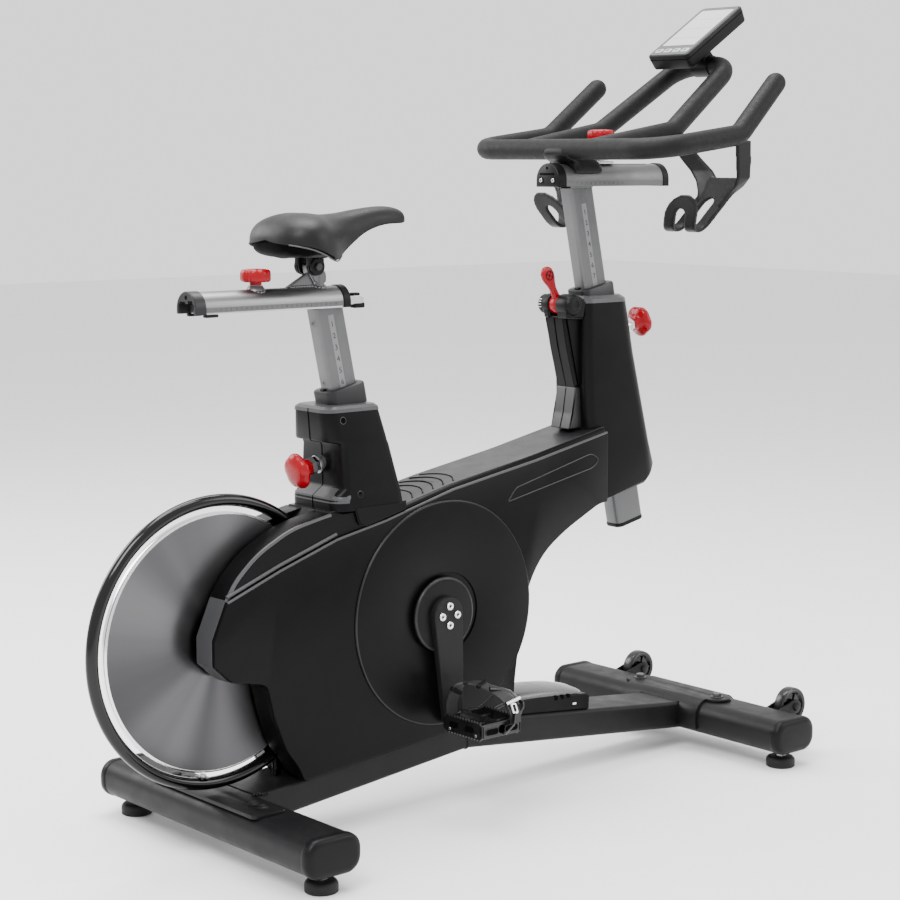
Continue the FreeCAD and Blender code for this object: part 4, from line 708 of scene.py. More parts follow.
def transport_wheels():
    for side, s in SIDES:
        x0, y0, z0 = ROLLER
        place = sideways((x0, s * y0, z0))
        g = Geo()
        g.ring([(28.5, -9.5), (31, -10.4), (33.2, -8.6), (34, -5), (34, 5), (33.2, 8.6), (31, 10.4),
                (28.5, 9.5)], place, "tread")
        g.ring([(5.05, -10.8), (8.5, -10.8), (9.5, -9.6), (10.5, -6.0), (22, -5.2), (25.5, -9.6),
                (28.8, -9.6), (28.8, 9.6), (25.5, 9.6), (22, 5.2), (10.5, 6.0), (9.5, 9.6), (8.5, 10.8),
                (5.05, 10.8)], place, "gloss")
        for k in range(5):
            a = radians(72 * k)
            for h in (-6.4, 6.4):
                spoke = aim((x0 + 16 * cos(a), s * y0 + h, z0 + 16 * sin(a)), (cos(a), 0, sin(a)))
                g.box(-2.2, 2.2, -1.6, 1.6, -8, 8, "gloss", 0.6, place=spoke)
        node = side + "_transport_wheel"
        g.make(node + "_roller", node + "_group", [node])


# --------------------------------------------------------------- the flywheel
CARRIED = {"flywheel_pulley": "iron", "flywheel_bearings": "chrome", "flywheel_axle": "zinc",
           "magnet_carrier": "iron", "drive_belt": "belt", "drive_pulley": "satin", "crank_spindle": "zinc",
           "crank_bearings": "chrome", "frame_tubes": "frame"}


def flywheel():
    place = sideways((HUB[0], 0, HUB[1]))
    g = Geo()
    g.ring([(22, -6.6), (202, -6.6), (202, 6.6), (22, 6.6)], place, "disc", 144)
    g.ring([(21.8, -8), (34, -8), (37, -6.6), (38, -5.0), (38, 5.0), (37, 6.6), (34, 8), (21.8, 8)], place,
           "iron", 72)
    g.make("flywheel_disc", "flywheel_group", ["flywheel"])
    g = Geo()
    g.ring([(201.6, -6.7), (202.2, -6.9), (205, -4.6), (205.4, -3.4), (205.4, 3.4), (205, 4.6), (202.2, 6.9),
            (201.6, 6.7)], place, "rim", 160)
    g.make("flywheel_rim", "flywheel_group")
    g = Geo()
    start, end = radians(48), radians(300)
    path = []
    for k in range(97):
        a = start + (end - start) * k / 96
        path.append((HUB[0] + GUARD_RADIUS * cos(a), 0, HUB[1] + GUARD_RADIUS * sin(a)))
    g.tube(path, 9.8, "ring", 28)
    a = radians(262)
    mid = (HUB[0] + 213 * cos(a), 0, HUB[1] + 213 * sin(a))
    tab = aim(mid, (cos(a), 0, sin(a)))
    g.box(-9, 9, -11, 11, -1.2, 2.2, "ring", 0.8, 4, place=tab)
    inward = aim(mid, (-cos(a), 0, -sin(a)))
    g.lathe([(6, 1), (6, 4), (4.6, 5.2), (0.3, 5.4)], inward, "zinc", 24)
    for s in (-1, 1):
        g.box(98, 108, s * 3 - 2, s * 3 + 2, beam_top(112) + 0.3, 150, "ring", 0.8)
    g.make("guard_hoop", "base", ["guard_ring"])
    for node, mat in CARRIED.items():
        keep(node, mat)


# ----------------------------------------------------------------- the covers
FRONT_HOLLOW = [(758, 482), (676, 444), (626, 411), (594, 365), (578, 312), (568, 250), (560, 195),
                (556, 131.2), (467, 140.6)]
REAR_HOLLOW = [(112, 103.2), (98, 133), (76, 159), (56, 213), (42, 272)]
SIDE_FACE = [(-26, 286), (-56, 314), (-56, 355), (-31, 411), (67, 448), (180, 485), (280, 505), (420, 541),
             (608, 573), (779, 607.9), (779, 484.7)] + FRONT_HOLLOW + REAR_HOLLOW
UPPER = [(-26, 286), (-56, 314), (-56, 355), (-30, 414), (-12, 443), (28, 480), (94, 513), (172, 529),
         (240, 530), (300, 520), (420, 549), (608, 581), (779, 615.9),
         (779, 484.7)] + FRONT_HOLLOW + REAR_HOLLOW
LOWER_RADII = [2, 2, 20] + [30] * 5 + [20, 4, 30, 8] + [16] * 4


def wheel_side():
    """Middle of the cover, hollowed to clear the flywheel."""
    pts = [(172, 529), (242.5, 529.5), (263.5, 428), (329, 428), (307.8, 522), (420, 549), (608, 581),
           (794, 619), (794, 486)] + FRONT_HOLLOW + [(150, 107.2)]
    for k in range(15):
        a = radians(-49 + 99 * k / 14)
        pts.append((HUB[0] + WHEEL_WELL * cos(a), HUB[1] + WHEEL_WELL * sin(a)))
    return pts


def outline_ring(raw, radii, y, w):
    """Outline moved inwards by w before its corners are rounded, at depth y."""
    return [(a, y, b) for a, b in round_corners(inset(raw, w), radii, 4)]


def shroud(s):
    """Drive cover half; s is -1 on the right side."""
    name = "right" if s < 0 else "left"
    g = Geo()
    radii = [2.5, 2.5, 2.5, 3] + [30] * 4 + [25] + LOWER_RADII
    g.loft([outline_ring(SIDE_FACE, radii, s * y, w) for y, w in ((66, 2.4), (65.2, 0.8), (63.6, 0),
                                                                  (57, 0))], "cover")
    radii = [2.5, 2.5, 2.5, 8] + [25] * 4 + [10, 20, 20, 25] + LOWER_RADII
    depth = ((61, 5.5), (60, 4.0), (57.5, 1.2), (54, 0.0), (16, 0.0))
    g.loft([outline_ring(UPPER, radii, s * y, w) for y, w in depth], "cover")
    # The rear facets and the beads below are paler grey: painted highlights along the cover's edges and
    # bevels.
    y0, y1 = sorted((s * 16, s * 57.5))
    g.prism([(-56.6, 314), (-56.6, 355), (-30.4, 414.4), (-27.5, 412), (-53, 354), (-53, 316)], y0, y1,
            "bevel_highlight", bevel=0.3)
    g.prism([(-26, 285.4), (-56.6, 313.6), (-54, 316), (-24, 289)], y0, y1, "bevel_highlight", bevel=0.3)
    line = [(-31, 411), (67, 448), (180, 485), (280, 505), (420, 541), (608, 573), (776, 607.2)]
    g.tube([(x, s * 64.6, z + 0.4) for x, z in line], 2.2, "bevel_highlight", 10)
    g.tube([(x + 1, s * 60.8, z + 8.5) for x, z in line[:3]], 3.2, "bevel_highlight", 10)
    arc = round_corners([(-29, 413), (-12, 441), (28, 478), (94, 511), (172, 526)], [0, 20, 25, 25, 0], 5)
    g.tube([(x, s * 57.6, z - 1.6) for x, z in arc], 3.4, "bevel_highlight", 10)
    place = sideways((CRANK[0] + 11, 0, CRANK[1]), s)
    g.lathe([(0.5, 60), (189, 60), (189, 67.2), (188.2, 69.0), (186.4, 70.4), (184, 71.0), (70, 71.0),
             (68, 70.4), (67.4, 68), (0.5, 68)], place, "cover", 128)
    # The paler ring round the raised belt cover is a painted highlight on its rounded rim.
    g.ring([(188.6, 68.3), (187.4, 70.0), (186.2, 70.6), (186.6, 69.0)], place, "grey_trim_and_highlight", 128)
    # The embossed slot is outlined by a paler line of painted highlight.
    slot = round_corners([(542, 509), (560, 531), (737, 574), (757, 562), (742, 549)], [4, 8, 9, 10, 8], 6)
    loop = [(x, s * 65.9, z) for x, z in slot]
    g.tube(loop + loop[:1], 1.1, "grey_trim_and_highlight", 8)
    g.make("drive_cover_" + name, "base", ["shroud_" + name])


def spine_top(x):
    return 520 + (x - 300) * 29 / 120 if x < 420 else 549 + (x - 420) * 32 / 188


def cover_middle():
    g = Geo()
    g.prism(wheel_side(), -16.5, 16.5, "cover", bevel=0.2)
    # The spine's top faces are paler: painted light falling from above.
    front = round_corners([(308, 522.4), (420, 549.4), (608, 581.4), (779, 616.3)], [0, 25, 25, 0])
    for top in ([(172, 529.2), (241, 530.3)], front):
        g.prism(top + [(x, z - 3) for x, z in reversed(top)], -55, 55, "grey_trim_and_highlight", bevel=0.8)
    # Each rib is a paler line of painted highlight beside a dark line of painted shade.
    for k in range(5):
        path, dark = [], []
        for j in range(17):
            t = -1 + j / 8
            x = 352 + 22 * k + 20 * (1 - t * t)
            path.append((x, 44 * t, spine_top(x) + 0.9))
            dark.append((x - 2.2, 44 * t, spine_top(x - 2.2) + 0.5))
        g.tube(path, 0.7, "grey_trim_and_highlight", 8)
        g.tube(dark, 0.8, "seam_and_shade", 8)
    for s in (-1, 1):
        g.box(300, 303, s * 62 - 3, s * 62 + 3, 516, 522, "seam_and_shade", 0.4)
    g.make("drive_cover_middle", "base")


def cover_ring(z, x0, x1, half, rear, front, tilt=0.0, steps=6):
    """Plan outline of a tower at height z with rear and front corner radii."""
    pts = []
    corners = ((x1 - front, half - front, 0, front), (x0 + rear, half - rear, 90, rear),
               (x0 + rear, rear - half, 180, rear), (x1 - front, front - half, 270, front))
    for cx, cy, turn, r in corners:
        for i in range(steps + 1):
            a = radians(turn + 90 * i / steps)
            x = cx + r * cos(a)
            pts.append((x, cy + r * sin(a), z + tilt * (x - x0)))
    return pts


def seat_tower():
    g = Geo()
    rows = [(528, 181, 322, 65.8, 24), (545, 180, 319, 64.6, 24), (549, 181, 318.4, 64.2, 24),
            (562, 199, 315.5, 62.4, 12), (566, 201, 314.8, 62.0, 10), (628, 199.5, 300, 56, 10),
            (634, 197, 297.5, 55.2, 10), (638, 178, 296.6, 54.8, 24), (641, 176, 296, 54.5, 24),
            (684, 172.6, 284.4, 49.4, 23), (690, 173.2, 283, 48.6, 22), (694, 178, 278.5, 44.2, 18)]
    rings = [cover_ring(z, x0, x1, w, r, 16) for z, x0, x1, w, r in rows]
    g.loft(rings, "cover")
    # The rounded top rim is paler grey: a painted highlight.
    top = [cover_ring(z, x0, x1, w, 20, 15) for z, x0, x1, w in ((684.5, 172.4, 284.8, 49.7),
                                                                 (690.2, 172.9, 283.4, 49.0),
                                                                 (694.3, 177.8, 278.8, 44.5),
                                                                 (694.4, 182, 274, 40))]
    g.loft(top, "bevel_highlight")
    rear = [(x0 - 0.15, z) for z, x0, x1, w, r in rows[:11]]
    g.tube([(x, 0, z) for x, z in rear], 0.9, "seam_and_shade", 8)
    # The lip is paler grey: a painted highlight on its ledge.
    lip = [cover_ring(z, x0, x1, w, 24, 16) for z, x0, x1, w in
           ((541, 179.9, 260, 65.0), (549.4, 180.6, 258, 64.5), (562.4, 198.6, 256, 62.6))]
    for ring in lip:
        for i, p in enumerate(ring):
            if p[0] > 214:
                ring[i] = (214 + (p[0] - 214) * 0.05, p[1] * 0.985, p[2])
    g.loft(lip, "bevel_highlight")
    for x, y, z in ((204, 50.9, 672), (228, 63.4, 553)):
        for s in (-1, 1):
            g.hole(aim((x, s * y, z), (0, s, 0.12)), 5.4)
    for x, z in ((293, 655), (314, 560)):
        for s in (-1, 1):
            g.hole(aim((x - 0.6, s * 36, z), (1, 0, 0.24)), 4.6)
    skirt = round_corners([(214, 534), (224, 504), (238, 500), (321, 520), (321, 534)], [0, 6, 8, 2, 0])
    for y0, y1 in ((-66.9, -57), (57, 66.9)):
        g.prism(skirt, y0, y1, "cover", bevel=2.0)
    g.make("seat_tower", "base", ["seat_cover_right", "seat_cover_left"])


def head_tower():
    def ring(z, x0, x1, half, rise=0.0, rear=12, front=34):
        pts = cover_ring(z, x0, x1, half, rear, front)
        return [(x, y, zz + rise * max(0.0, (x - x0 - 88) / 45.0)) for x, y, zz in pts]

    g = Geo()
    rows = [(483.6, 776, 926, 43, 34), (484, 775, 930, 45.2, 36), (490, 774, 931.5, 46, 36),
            (560, 758, 920, 46, 10), (647, 750, 901, 46, 0), (739, 745.5, 878, 45.2, 0),
            (833, 744.8, 858.6, 44.4, 0), (840, 745.4, 857, 43.4, 0), (845.2, 751, 851, 37.6, 0)]
    g.loft([ring(z, x0, x1, w, rise, rear=16) for z, x0, x1, w, rise in rows], "cover")
    # The rounded top rim is paler grey: a painted highlight.
    top = [ring(z, x0, x1, w, rear=16) for z, x0, x1, w in ((833.4, 744.6, 858.9, 44.6),
                                                            (840.2, 745.1, 857.4, 43.7),
                                                            (845.5, 751.0, 851.4, 37.8),
                                                            (845.6, 755, 847, 33))]
    g.loft(top, "bevel_highlight")
    for x, y, z in ((806, 46.0, 520), (772, 45.9, 637)):
        for s in (-1, 1):
            g.hole(aim((x, s * y, z), (0, s, 0)), 5.2)
    for z, x in ((812, 858), (560, 918)):
        for s in (-1, 1):
            g.hole(aim((x - 6, s * 33, z), (1, s * 0.6, 0.1)), 4.4)
    g.make("head_tower", "base", ["head_cover_right", "head_cover_left"])


def lever_block():
    g = Geo()
    upper = round_corners([(708, 812), (709, 800), (717, 758), (738.5, 684), (765, 684), (757, 812)],
                          [3, 6, 20, 2, 0, 0])
    g.prism(upper, -26, 26, "cover", bevel=6, steps=4)
    lower = round_corners([(738, 686), (731, 640), (723, 613), (757, 613), (760, 686)], [2, 4, 2, 0, 0])
    g.prism(lower, -24, 24, "block", bevel=2.0, steps=2)
    rear = [(707.6, 808), (708.6, 800), (716.6, 758), (738.2, 686)]
    g.tube([(x, 0, z) for x, z in rear], 0.8, "seam_and_shade", 8)
    g.tube([(737.8, 0, 684), (730.8, 0, 640), (723, 0, 614)], 0.8, "seam_and_shade", 8)
    near = sideways(LEVER_PIVOT, -1)
    g.lathe([(0.5, 9), (15, 9), (18.4, 10.5), (19.4, 14), (19.4, 34), (18, 39), (14.5, 42.2), (9, 43),
             (8.4, 42), (7.4, 41.6), (0.5, 41.6)], near, "satin")
    far = sideways(LEVER_PIVOT)
    g.lathe([(0.5, 9), (15, 9), (18.2, 10.5), (18.6, 13), (18.6, 23), (17.6, 25.4), (0.5, 25.4)], far,
            "satin")
    web = round_corners([(705, 808), (745, 806), (752, 838), (728, 849), (712, 846), (702, 826)],
                        [4, 0, 4, 10, 10, 8])
    g.prism(web, -38, -9, "satin", bevel=4, steps=3)
    g.prism(web, 9, 24, "satin", bevel=3, steps=3)
    place = aim((741, -38.0, 806), (0, -1, 0))
    g.lathe([(0.5, 3.2), (5.6, 3.2), (7, 2.0), (7.4, 0), (7.4, -6)], place, "satin", 28)
    g.socket_screw(aim((741, -41.4, 806), (0, -1, 0)), 3.4, "zinc", 1.2)
    g.socket_screw(aim((772, -46.0, 640), (0, -1, 0)), 4.2, "zinc", 1.2)
    g.make("lever_mount", "base", ["lever_housing"])
    g = Geo()
    hub = sideways(LEVER_PIVOT)
    g.lathe([(0.5, -8.6), (15.5, -8.6), (16.6, -7.4), (16.6, 7.4), (15.5, 8.6), (0.5, 8.6)], hub, "red")
    g.lathe([(0.5, 26.4), (16.4, 26.4), (17, 27.2), (17, 34.6), (15.8, 36), (13, 36.4), (0.5, 36.2)], hub,
            "satin")
    g.rod(6.8, -26, 28, hub, "zinc", 24)
    for k in range(4):
        a = radians(148 + 16 * k)
        mark = aim((719 + 17.0 * cos(a), 30.6, 831 + 17.0 * sin(a)), (cos(a), 0, sin(a)))
        g.box(-0.5, 0.5, -3.2, 3.2, -0.3, 0.35, "white", 0.1, place=mark)
    direction = Vector((691 - 719, 0, 884 - 831)).normalized()
    stem = []
    for t, half, thick in ((10, 8.6, 7.0), (20, 6.6, 6.2), (32, 6.2, 5.6), (42, 8.6, 5.4), (50, 12.0, 5.2),
                           (58, 13.4, 5.2), (66, 12.2, 5.0), (71, 8.6, 4.6), (73.5, 4.2, 4.0)):
        c = Vector(LEVER_PIVOT) + direction * t
        across = direction.cross(Vector((0, 1, 0)))
        stem.append([tuple(c + across * a + Vector((0, b, 0))) for a,
                     b in rounded_rect(half * 2, thick * 2, min(half, thick) * 0.85)])
    g.loft(stem, "red")
    tip = Vector(LEVER_PIVOT) + direction * 58
    for s in (-1, 1):
        badge = aim(tip + Vector((0, s * 5.0, 0)), (0, s, 0), tuple(direction + across))
        g.ring([(7.2, -0.4), (8.6, -0.4), (8.6, 0.7), (7.2, 0.7)], badge, "mark", 32)
        g.box(-0.8, 0.8, -7.4, 7.4, -0.4, 0.6, "mark", 0.2, place=badge)
        g.box(-7.4, 7.4, -0.8, 0.8, -0.4, 0.6, "mark", 0.2, place=badge)
    g.make("resistance_lever", "brake_lever_group", ["brake_lever"], sharp=45)


def beam_box():
    g = Geo()
    x0, x1 = 556, 757
    low = [(x0, beam_top(x0) + 0.3), (x1, beam_top(x1) + 0.3)]
    side = round_corners(low + [(x1 + 1, 134), (x1 - 4, 139), (640, 150), (x0, 152)], [0, 2, 3, 6, 30, 0], 4)
    g.prism(side, -46, 46, "cover", bevel=2.0)
    # The rounded top is paler grey, painted light from above.
    rings = []
    for x, z, w, h in ((x0 + 2, 151, 36, 15), (600, 152.5, 41, 17), (650, 151, 43, 17.5),
                       (700, 146.5, 42, 16), (735, 142.5, 38, 12), (750, 140.6, 31, 7), (756, 139.5, 24, 3)):
        ring = []
        for k in range(25):
            a = pi * k / 24
            ring.append((x, w * cos(a), z - 3 + h * max(sin(a), 0) ** 0.7))
        rings.append(ring)
    g.loft(rings, "lit")
    # The vent slots are dark boxes of painted shade.
    for k in range(3):
        for s in (-1, 1):
            g.box(672 + 15 * k, 680 + 15 * k, s * 40 - 7, s * 40 + 7, 138, 147 - k, "seam_and_shade", 1.2)
    g.box(716, 724, -47.0, -45.4, 124, 127.5, "white", 0.4)
    g.make("beam_housing", "base", ["beam_cover"])


# ------------------------------------------------------------------ the posts
def scale_marks(g, top, z, y, first, count, pitch):
    """Numbered strip on both broad faces of a post."""
    for s in (-1, 1):
        face = post_frame(top, z)
        length = pitch * (count + 0.4)
        g.prism([(-5.6, -length), (5.6, -length), (5.6, 6), (-5.6, 6)], s * (y - 0.4), s * (y + 0.35),
                "strip", lambda a, b, c: face(a - 2, c, b), 0.3)
        for i in range(count):
            def spot(a, b, c, i=i, s=s):
                return face(-2 - s * a, s * (y + 0.35 + c), b - pitch * (i + 0.5))
            digits(g, str(first + i), 12.5, spot, lift=0.25)


def posts():
    for node, top, z0, z1, body in (("seat_post", SEAT_TOP, 525, 853, "seat_post_group"),
                                    ("handlebar_post", BAR_TOP, 645, 1038, "handlebar_post_group")):
        g = Geo()
        face = post_frame(top, z0)
        length = (z1 - z0) / cos(LEAN)
        pts = rounded_rect(55, 30, 7, 6)
        g.prism(pts, 0, length, "silver", face, 0.8)
        for s in (-1, 1):
            for a in (-9.2, 5.2, 17.5):
                g.prism([(a, 0), (a + 0.5, 0), (a + 0.5, length - 8), (a, length - 8)], s * 14.7, s * 15.12,
                        "band", lambda u, w, c: face(u, c, w), 0.1)
        if node == "seat_post":
            scale_marks(g, SEAT_TOP, 832, 15.0, 1, 6, 19.0)
            for z in (824, 728):
                place = aim((on_axis(top, z) - 27.6 / cos(LEAN) * 0.98, 0, z), (-cos(LEAN), 0, -sin(LEAN)))
                g.ring([(5.2, 0), (7.4, 0), (7.4, 0.8), (5.2, 0.8)], place, "band", 28)
                g.socket_screw(place, 4.6, "dull", 1.0)
            # Adjustment holes drawn as dark discs of painted shade.
            for z in range(700, 540, -19):
                place = aim((on_axis(top, z) - 27.5 / cos(LEAN), 0, z), (-cos(LEAN), 0, -sin(LEAN)))
                g.lathe([(0.3, 0.3), (5, 0.25), (5, -1)], place, "print_and_hole_shade", 24)
            g.box(60, 271, -20, 20, 853.3, 864.2, "zinc", 0.8)
            g.box(150, 268, -15, 15, 858, 864.3, "print_and_hole_shade", 0.6)
            for s in (-1, 1):
                weld(g, [(184, s * 16.5, 850), (232, s * 16.5, 850)], 2.4, "silver")
            for s in (-1, 1):
                y0, y1 = sorted((s * 7, s * 20.5))
                g.box(243, 268, y0, y1, 853, 866, "zinc", 1.0)
                g.box(252, 272.5, y0 - 0.6, y1 + 0.6, 846.5, 855, "satin", 1.2)
                g.box(250, 264, y0 + 1, y1 - 1, 865, 871, "satin", 1.2)
            g.make("seat_post_tube", body, ["seat_post"])
        else:
            scale_marks(g, BAR_TOP, 1000, 15.0, 1, 7, 19.0)
            bar_rail(g)
            g.make("handlebar_post_tube", body, ["handlebar_post"])


def d_ring(x, z, width, height, grow=0.0, flange=0.0, steps=16):
    """D outline in the plane of constant x."""
    half = width / 2 + grow
    flat = max(height - width / 2, 3)
    rise = height - flat + grow
    pts = [(x, -half - flange, z - grow), (x, -half - flange, z + 3.5),
           (x, -half, z + 3.5 + (0.6 if flange else 0))]
    for i in range(steps + 1):
        a = pi * (1 - i / steps)
        pts.append((x, half * cos(a), z + flat + rise * sin(a)))
    pts += [(x, half, z + 3.5 + (0.6 if flange else 0)), (x, half + flange, z + 3.5),
            (x, half + flange, z - grow)]
    return pts


def tick_row(g, x0, x1, y, z, pitch):
    count = int((x1 - x0) / pitch)
    for i in range(count + 1):
        x = x0 + i * pitch
        for s in (-1, 1):
            def spot(a, b, c, x=x, s=s):
                return x - s * a, s * (y + c), z + b
            if i % 2:
                g.box(x - 0.45, x + 0.45, z - 2.2, z + 2.2, s * (y - 0.2), s * (y + 0.15), "print_and_hole_shade", 0.1,
                      place=xz)
            else:
                digits(g, str(i // 2 + 1), 5.5, spot)


def bar_rail(g):
    x0, x1, z = 709.0, 948.0, BAR_RAIL_Z
    g.loft([d_ring(x0, z, 54, 38), d_ring(x1, z, 54, 38)], "brushed")
    g.box(x0, x1, -27.4, 27.4, z - 0.6, z + 9.5, "band", 0.8)
    tick_row(g, 735, 845, 27.5, z + 5.0, 11)
    g.box(768, 928, -6.5, 6.5, z + 36.5, z + 38.15, "print_and_hole_shade", 0.3, 6)
    for s in (-1, 1):
        weld(g, [(730, s * 16.5, z - 1), (782, s * 16.5, z - 1)], 2.4, "silver")


def draped(x, r, z, sag, steps):
    """Circle about (x, 0) lying over a rounded top."""
    turns = [2 * pi * k / steps for k in range(steps + 1)]
    return [(x + r * cos(a), r * sin(a), z - abs(sin(a)) * sag) for a in turns]


def rails():
    g = Geo()
    x0, x1, z = -35.0, 226.0, SADDLE_RAIL_Z
    g.loft([d_ring(x0, z, 50, 33, 0, 0), d_ring(x1, z, 50, 33, 0, 0)], "rail")
    for s in (-1, 1):
        g.box(x0, x1, s * 25.2 - 0.5, s * 25.2 + 0.5, z + 2.5, z + 9.5, "band", 0.3)
        g.box(x0 + 1, x1 - 1, s * 21 - 4.6, s * 21 + 4.6, z - 0.8, z + 1.5, "zinc", 0.6)
    tick_row(g, -18, 212, 25.7, z + 6.0, 9.5)
    place = upright((74, 0, z + 32))
    g.lathe([(0.5, 0.5), (15.5, -1.6), (13.2, 3.4), (11.8, 4.6), (11.2, 6.4), (0.5, 6.6)], place, "silver",
            40)
    weld(g, draped(74, 14.5, z + 32.6, 4.4, 18), 2.0, "rail", 4.0)
    stem = upright((194, 0, z + 28))
    g.lathe([(0.5, 0), (11.5, 0), (10.6, 5), (10.5, 24), (0.5, 24)], stem, "silver", 36)
    neck = round_corners([(182, 888), (206, 888), (206, 903), (192, 920), (168, 918), (170, 906)], 5, 3)
    g.prism(neck, -9, 9, "silver", bevel=2.5, steps=3)
    g.prism(round_corners([(126, z + 30), (190, z + 30), (190, 910), (182, 910)], 1.5, 2), -3.6, 3.6,
            "silver", bevel=0.8)
    for s in (-1, 1):
        weld(g, [(136, s * 4, z + 33.5), (192, s * 4, z + 33.5)], 2.2, "rail")
    weld(g, [(183.4, -5, z + 36), (183.4, -5, 904)], 2.2, "rail", 6)
    weld(g, draped(194, 12.2, z + 33.5, 2.6, 14), 2.4, "rail")
    g.make("saddle_rail", "slider_group", ["saddle_slider"])
    g = Geo()
    for a, b in ((-55.0, -35.0), (226.0, 241.0)):
        arch_cap(g, a, b, SADDLE_RAIL_Z, 50, 33, a < 0)
    g.make("saddle_rail_caps", "slider_group", ["slider_caps"])
    g = Geo()
    for a, b in ((689.0, 709.0), (948.0, 963.0)):
        closed_cap(g, a, b, BAR_RAIL_Z, 54, 38)
    g.make("bar_rail_caps", "handlebar_post_group", ["rail_caps"])


def arch_cap(g, x0, x1, z, width, height, rear):
    """End cap open below, where the inner rail passes."""
    half, flat = width / 2 + 1.5, height - width / 2
    outer = [(-half, z - 0.8), (-half, z + flat)]
    outer += [(half * cos(pi * (1 - i / 16)), z + flat + half * sin(pi * (1 - i / 16))) for i in range(1, 16)]
    outer += [(half, z + flat), (half, z - 0.8), (20.6, z - 0.8), (20.6, z + 15.4), (-20.6, z + 15.4),
              (-20.6, z - 0.8)]
    mat = "grey_trim_and_highlight" if rear else "satin"
    g.prism(outer, x0, x1, mat, yz, 1.2)
    end, d = (x0, -1) if rear else (x1, 1)
    place = aim((end, 0, z + 25), (d, 0, 0))
    g.dot(place, 3.4)
    if rear:
        g.box(end - 0.3, end + 1, -17, -5, z + 15.2, z + 20.4, "seam_and_shade", 0.4)
        g.box(end - 0.3, end + 1, 3, 17, z + 15.2, z + 18.6, "seam_and_shade", 0.4)
        for s in (-1, 1):
            g.box(x1 - 2, x1 + 22, s * 22 - 4, s * 22 + 4, z - 5.5, z - 0.6, "satin", 1.0)
            g.socket_screw(aim((x1 + 4, s * 26.2, z - 2.5), (0, s, 0)), 2.6, "zinc", 0.8)


def closed_cap(g, x0, x1, z, width, height):
    rear = x0 < 800
    end, d = (x0, -1) if rear else (x1, 1)
    rows = [(end, -1.2), (end - d * 0.8, 0.4), (end - d * 2.0, 1.4), (x1 if rear else x0, 1.4)]
    g.loft([d_ring(x, z, width, height, w) for x, w in rows], "satin")
    place = aim((end, 0, z + 31), (d, 0, 0))
    g.dot(place, 2.6)
    g.box(min(end, end + d * 0.5), max(end, end + d * 0.5), -18, 18, z + 19, z + 22.5, "seam_and_shade", 0.2)
    for s in (-1, 1):
        g.socket_screw(aim((end + d * 0.2, s * 15, z + 10), (d, 0, 0)), 3.6, "chrome", 1.4)
        g.ring([(4.4, 0), (6.2, 0), (6.0, 0.8), (4.8, 0.8)], aim((end, s * 15, z + 10), (d, 0, 0)), "gloss",
               24)


def collars():
    g = Geo()
    for top, z0, z1 in ((SEAT_TOP, 697, 722), (BAR_TOP, 838, 862)):
        face = post_frame(top, z0)
        length = (z1 - z0) / cos(LEAN)
        outline = rounded_rect(77, 52, 13, 6)
        rings = [[face(a, b, c) for a, b in inset(outline, w)] for c,
                 w in ((-8, 0), (length - 3, 0), (length - 1, 0.8), (length, 2.6), (length, 10.7),
                       (length - 4, 10.9))]
        g.loft(rings, "grey_trim_and_highlight")
        g.prism([(-35, -4), (-27, -4), (-27, 4), (-35, 4)], length - 0.5, length + 2.5, "satin", face, 0.8)
    g.make("post_bushings", "base", ["post_collars"])
    g = Geo()
    face = post_frame(BAR_TOP, 429)
    outline = rounded_rect(64, 39, 11.5, 6)
    g.prism(outline, 7, 415, "silver", face, 0.5)
    g.prism(inset(outline, -0.8), 0, 7.5, "satin", face, 1.5)
    place = aim(post_frame(BAR_TOP, HEAD_PIN_Z)(27, 0, 0), (cos(LEAN), 0, sin(LEAN)))
    g.rod(11, 6, 50, place, "zinc", 32)
    g.hexagon(22, 48, 57.5, "chrome", place, 1.0)
    g.make("head_socket", "base", ["head_tube"])
    g = Geo()
    place = aim(post_frame(SEAT_TOP, SEAT_PIN_Z)(-27, 0, 0), (-cos(LEAN), 0, -sin(LEAN)))
    g.rod(11, 6, 46, place, "zinc", 32)
    g.hexagon(25, 44, 51, "chrome", place, 1.0)
    g.rod(9.5, 51, 57.5, place, "chrome", 32)
    g.rod(14.5, 40, 43.5, place, "zinc", 32)
    g.make("seat_socket", "base")
    keep("seat_tube", "silver")


# ------------------------------------------------------------------ the knobs
def lobed_knob(name, body, node, x, z, low, head_z):
    g = Geo()
    place = upright((x, 0, z))
    g.rod(6, low, head_z - z - 3, place, "zinc", 24)
    h = head_z - z
    g.lathe([(0.5, h - 4.5), (9.2, h - 4.5), (9.6, h - 3.6), (9.4, h - 0.4), (10.6, h + 0.6), (20.5, h + 0.4),
             (22.8, h + 1.6), (24, h + 4.2), (24, h + 14.5), (23.2, h + 17.6), (20.5, h + 19.6),
             (14, h + 20.6), (0.5, h + 21)], place, "red", 96, lobes=8, depth=0.09)
    g.make(name, body, [node], sharp=50)


def pull_knob(name, body, node, top, z, forward, reach, radius):
    d = 1 if forward else -1
    place = aim(post_frame(top, z)(0, 0, 0), (d * cos(LEAN), 0, d * sin(LEAN)))
    g = Geo()
    g.rod(5, 28, reach + 2, place, "chrome", 24)
    k = radius / 28.0
    g.lathe([(0.5, reach - 1), (12 * k, reach - 1), (13 * k, reach + 1), (13 * k, reach + 5),
             (15 * k, reach + 9), (19 * k, reach + 12.5), (24.5 * k, reach + 15), (27.4 * k, reach + 18),
             (28 * k, reach + 21.5), (27 * k, reach + 25), (23.5 * k, reach + 29), (17 * k, reach + 31.8),
             (9 * k, reach + 32.8), (0.5, reach + 33)], place, "red", 96, lobes=5, depth=0.07)
    g.make(name, body, [node], sharp=50)


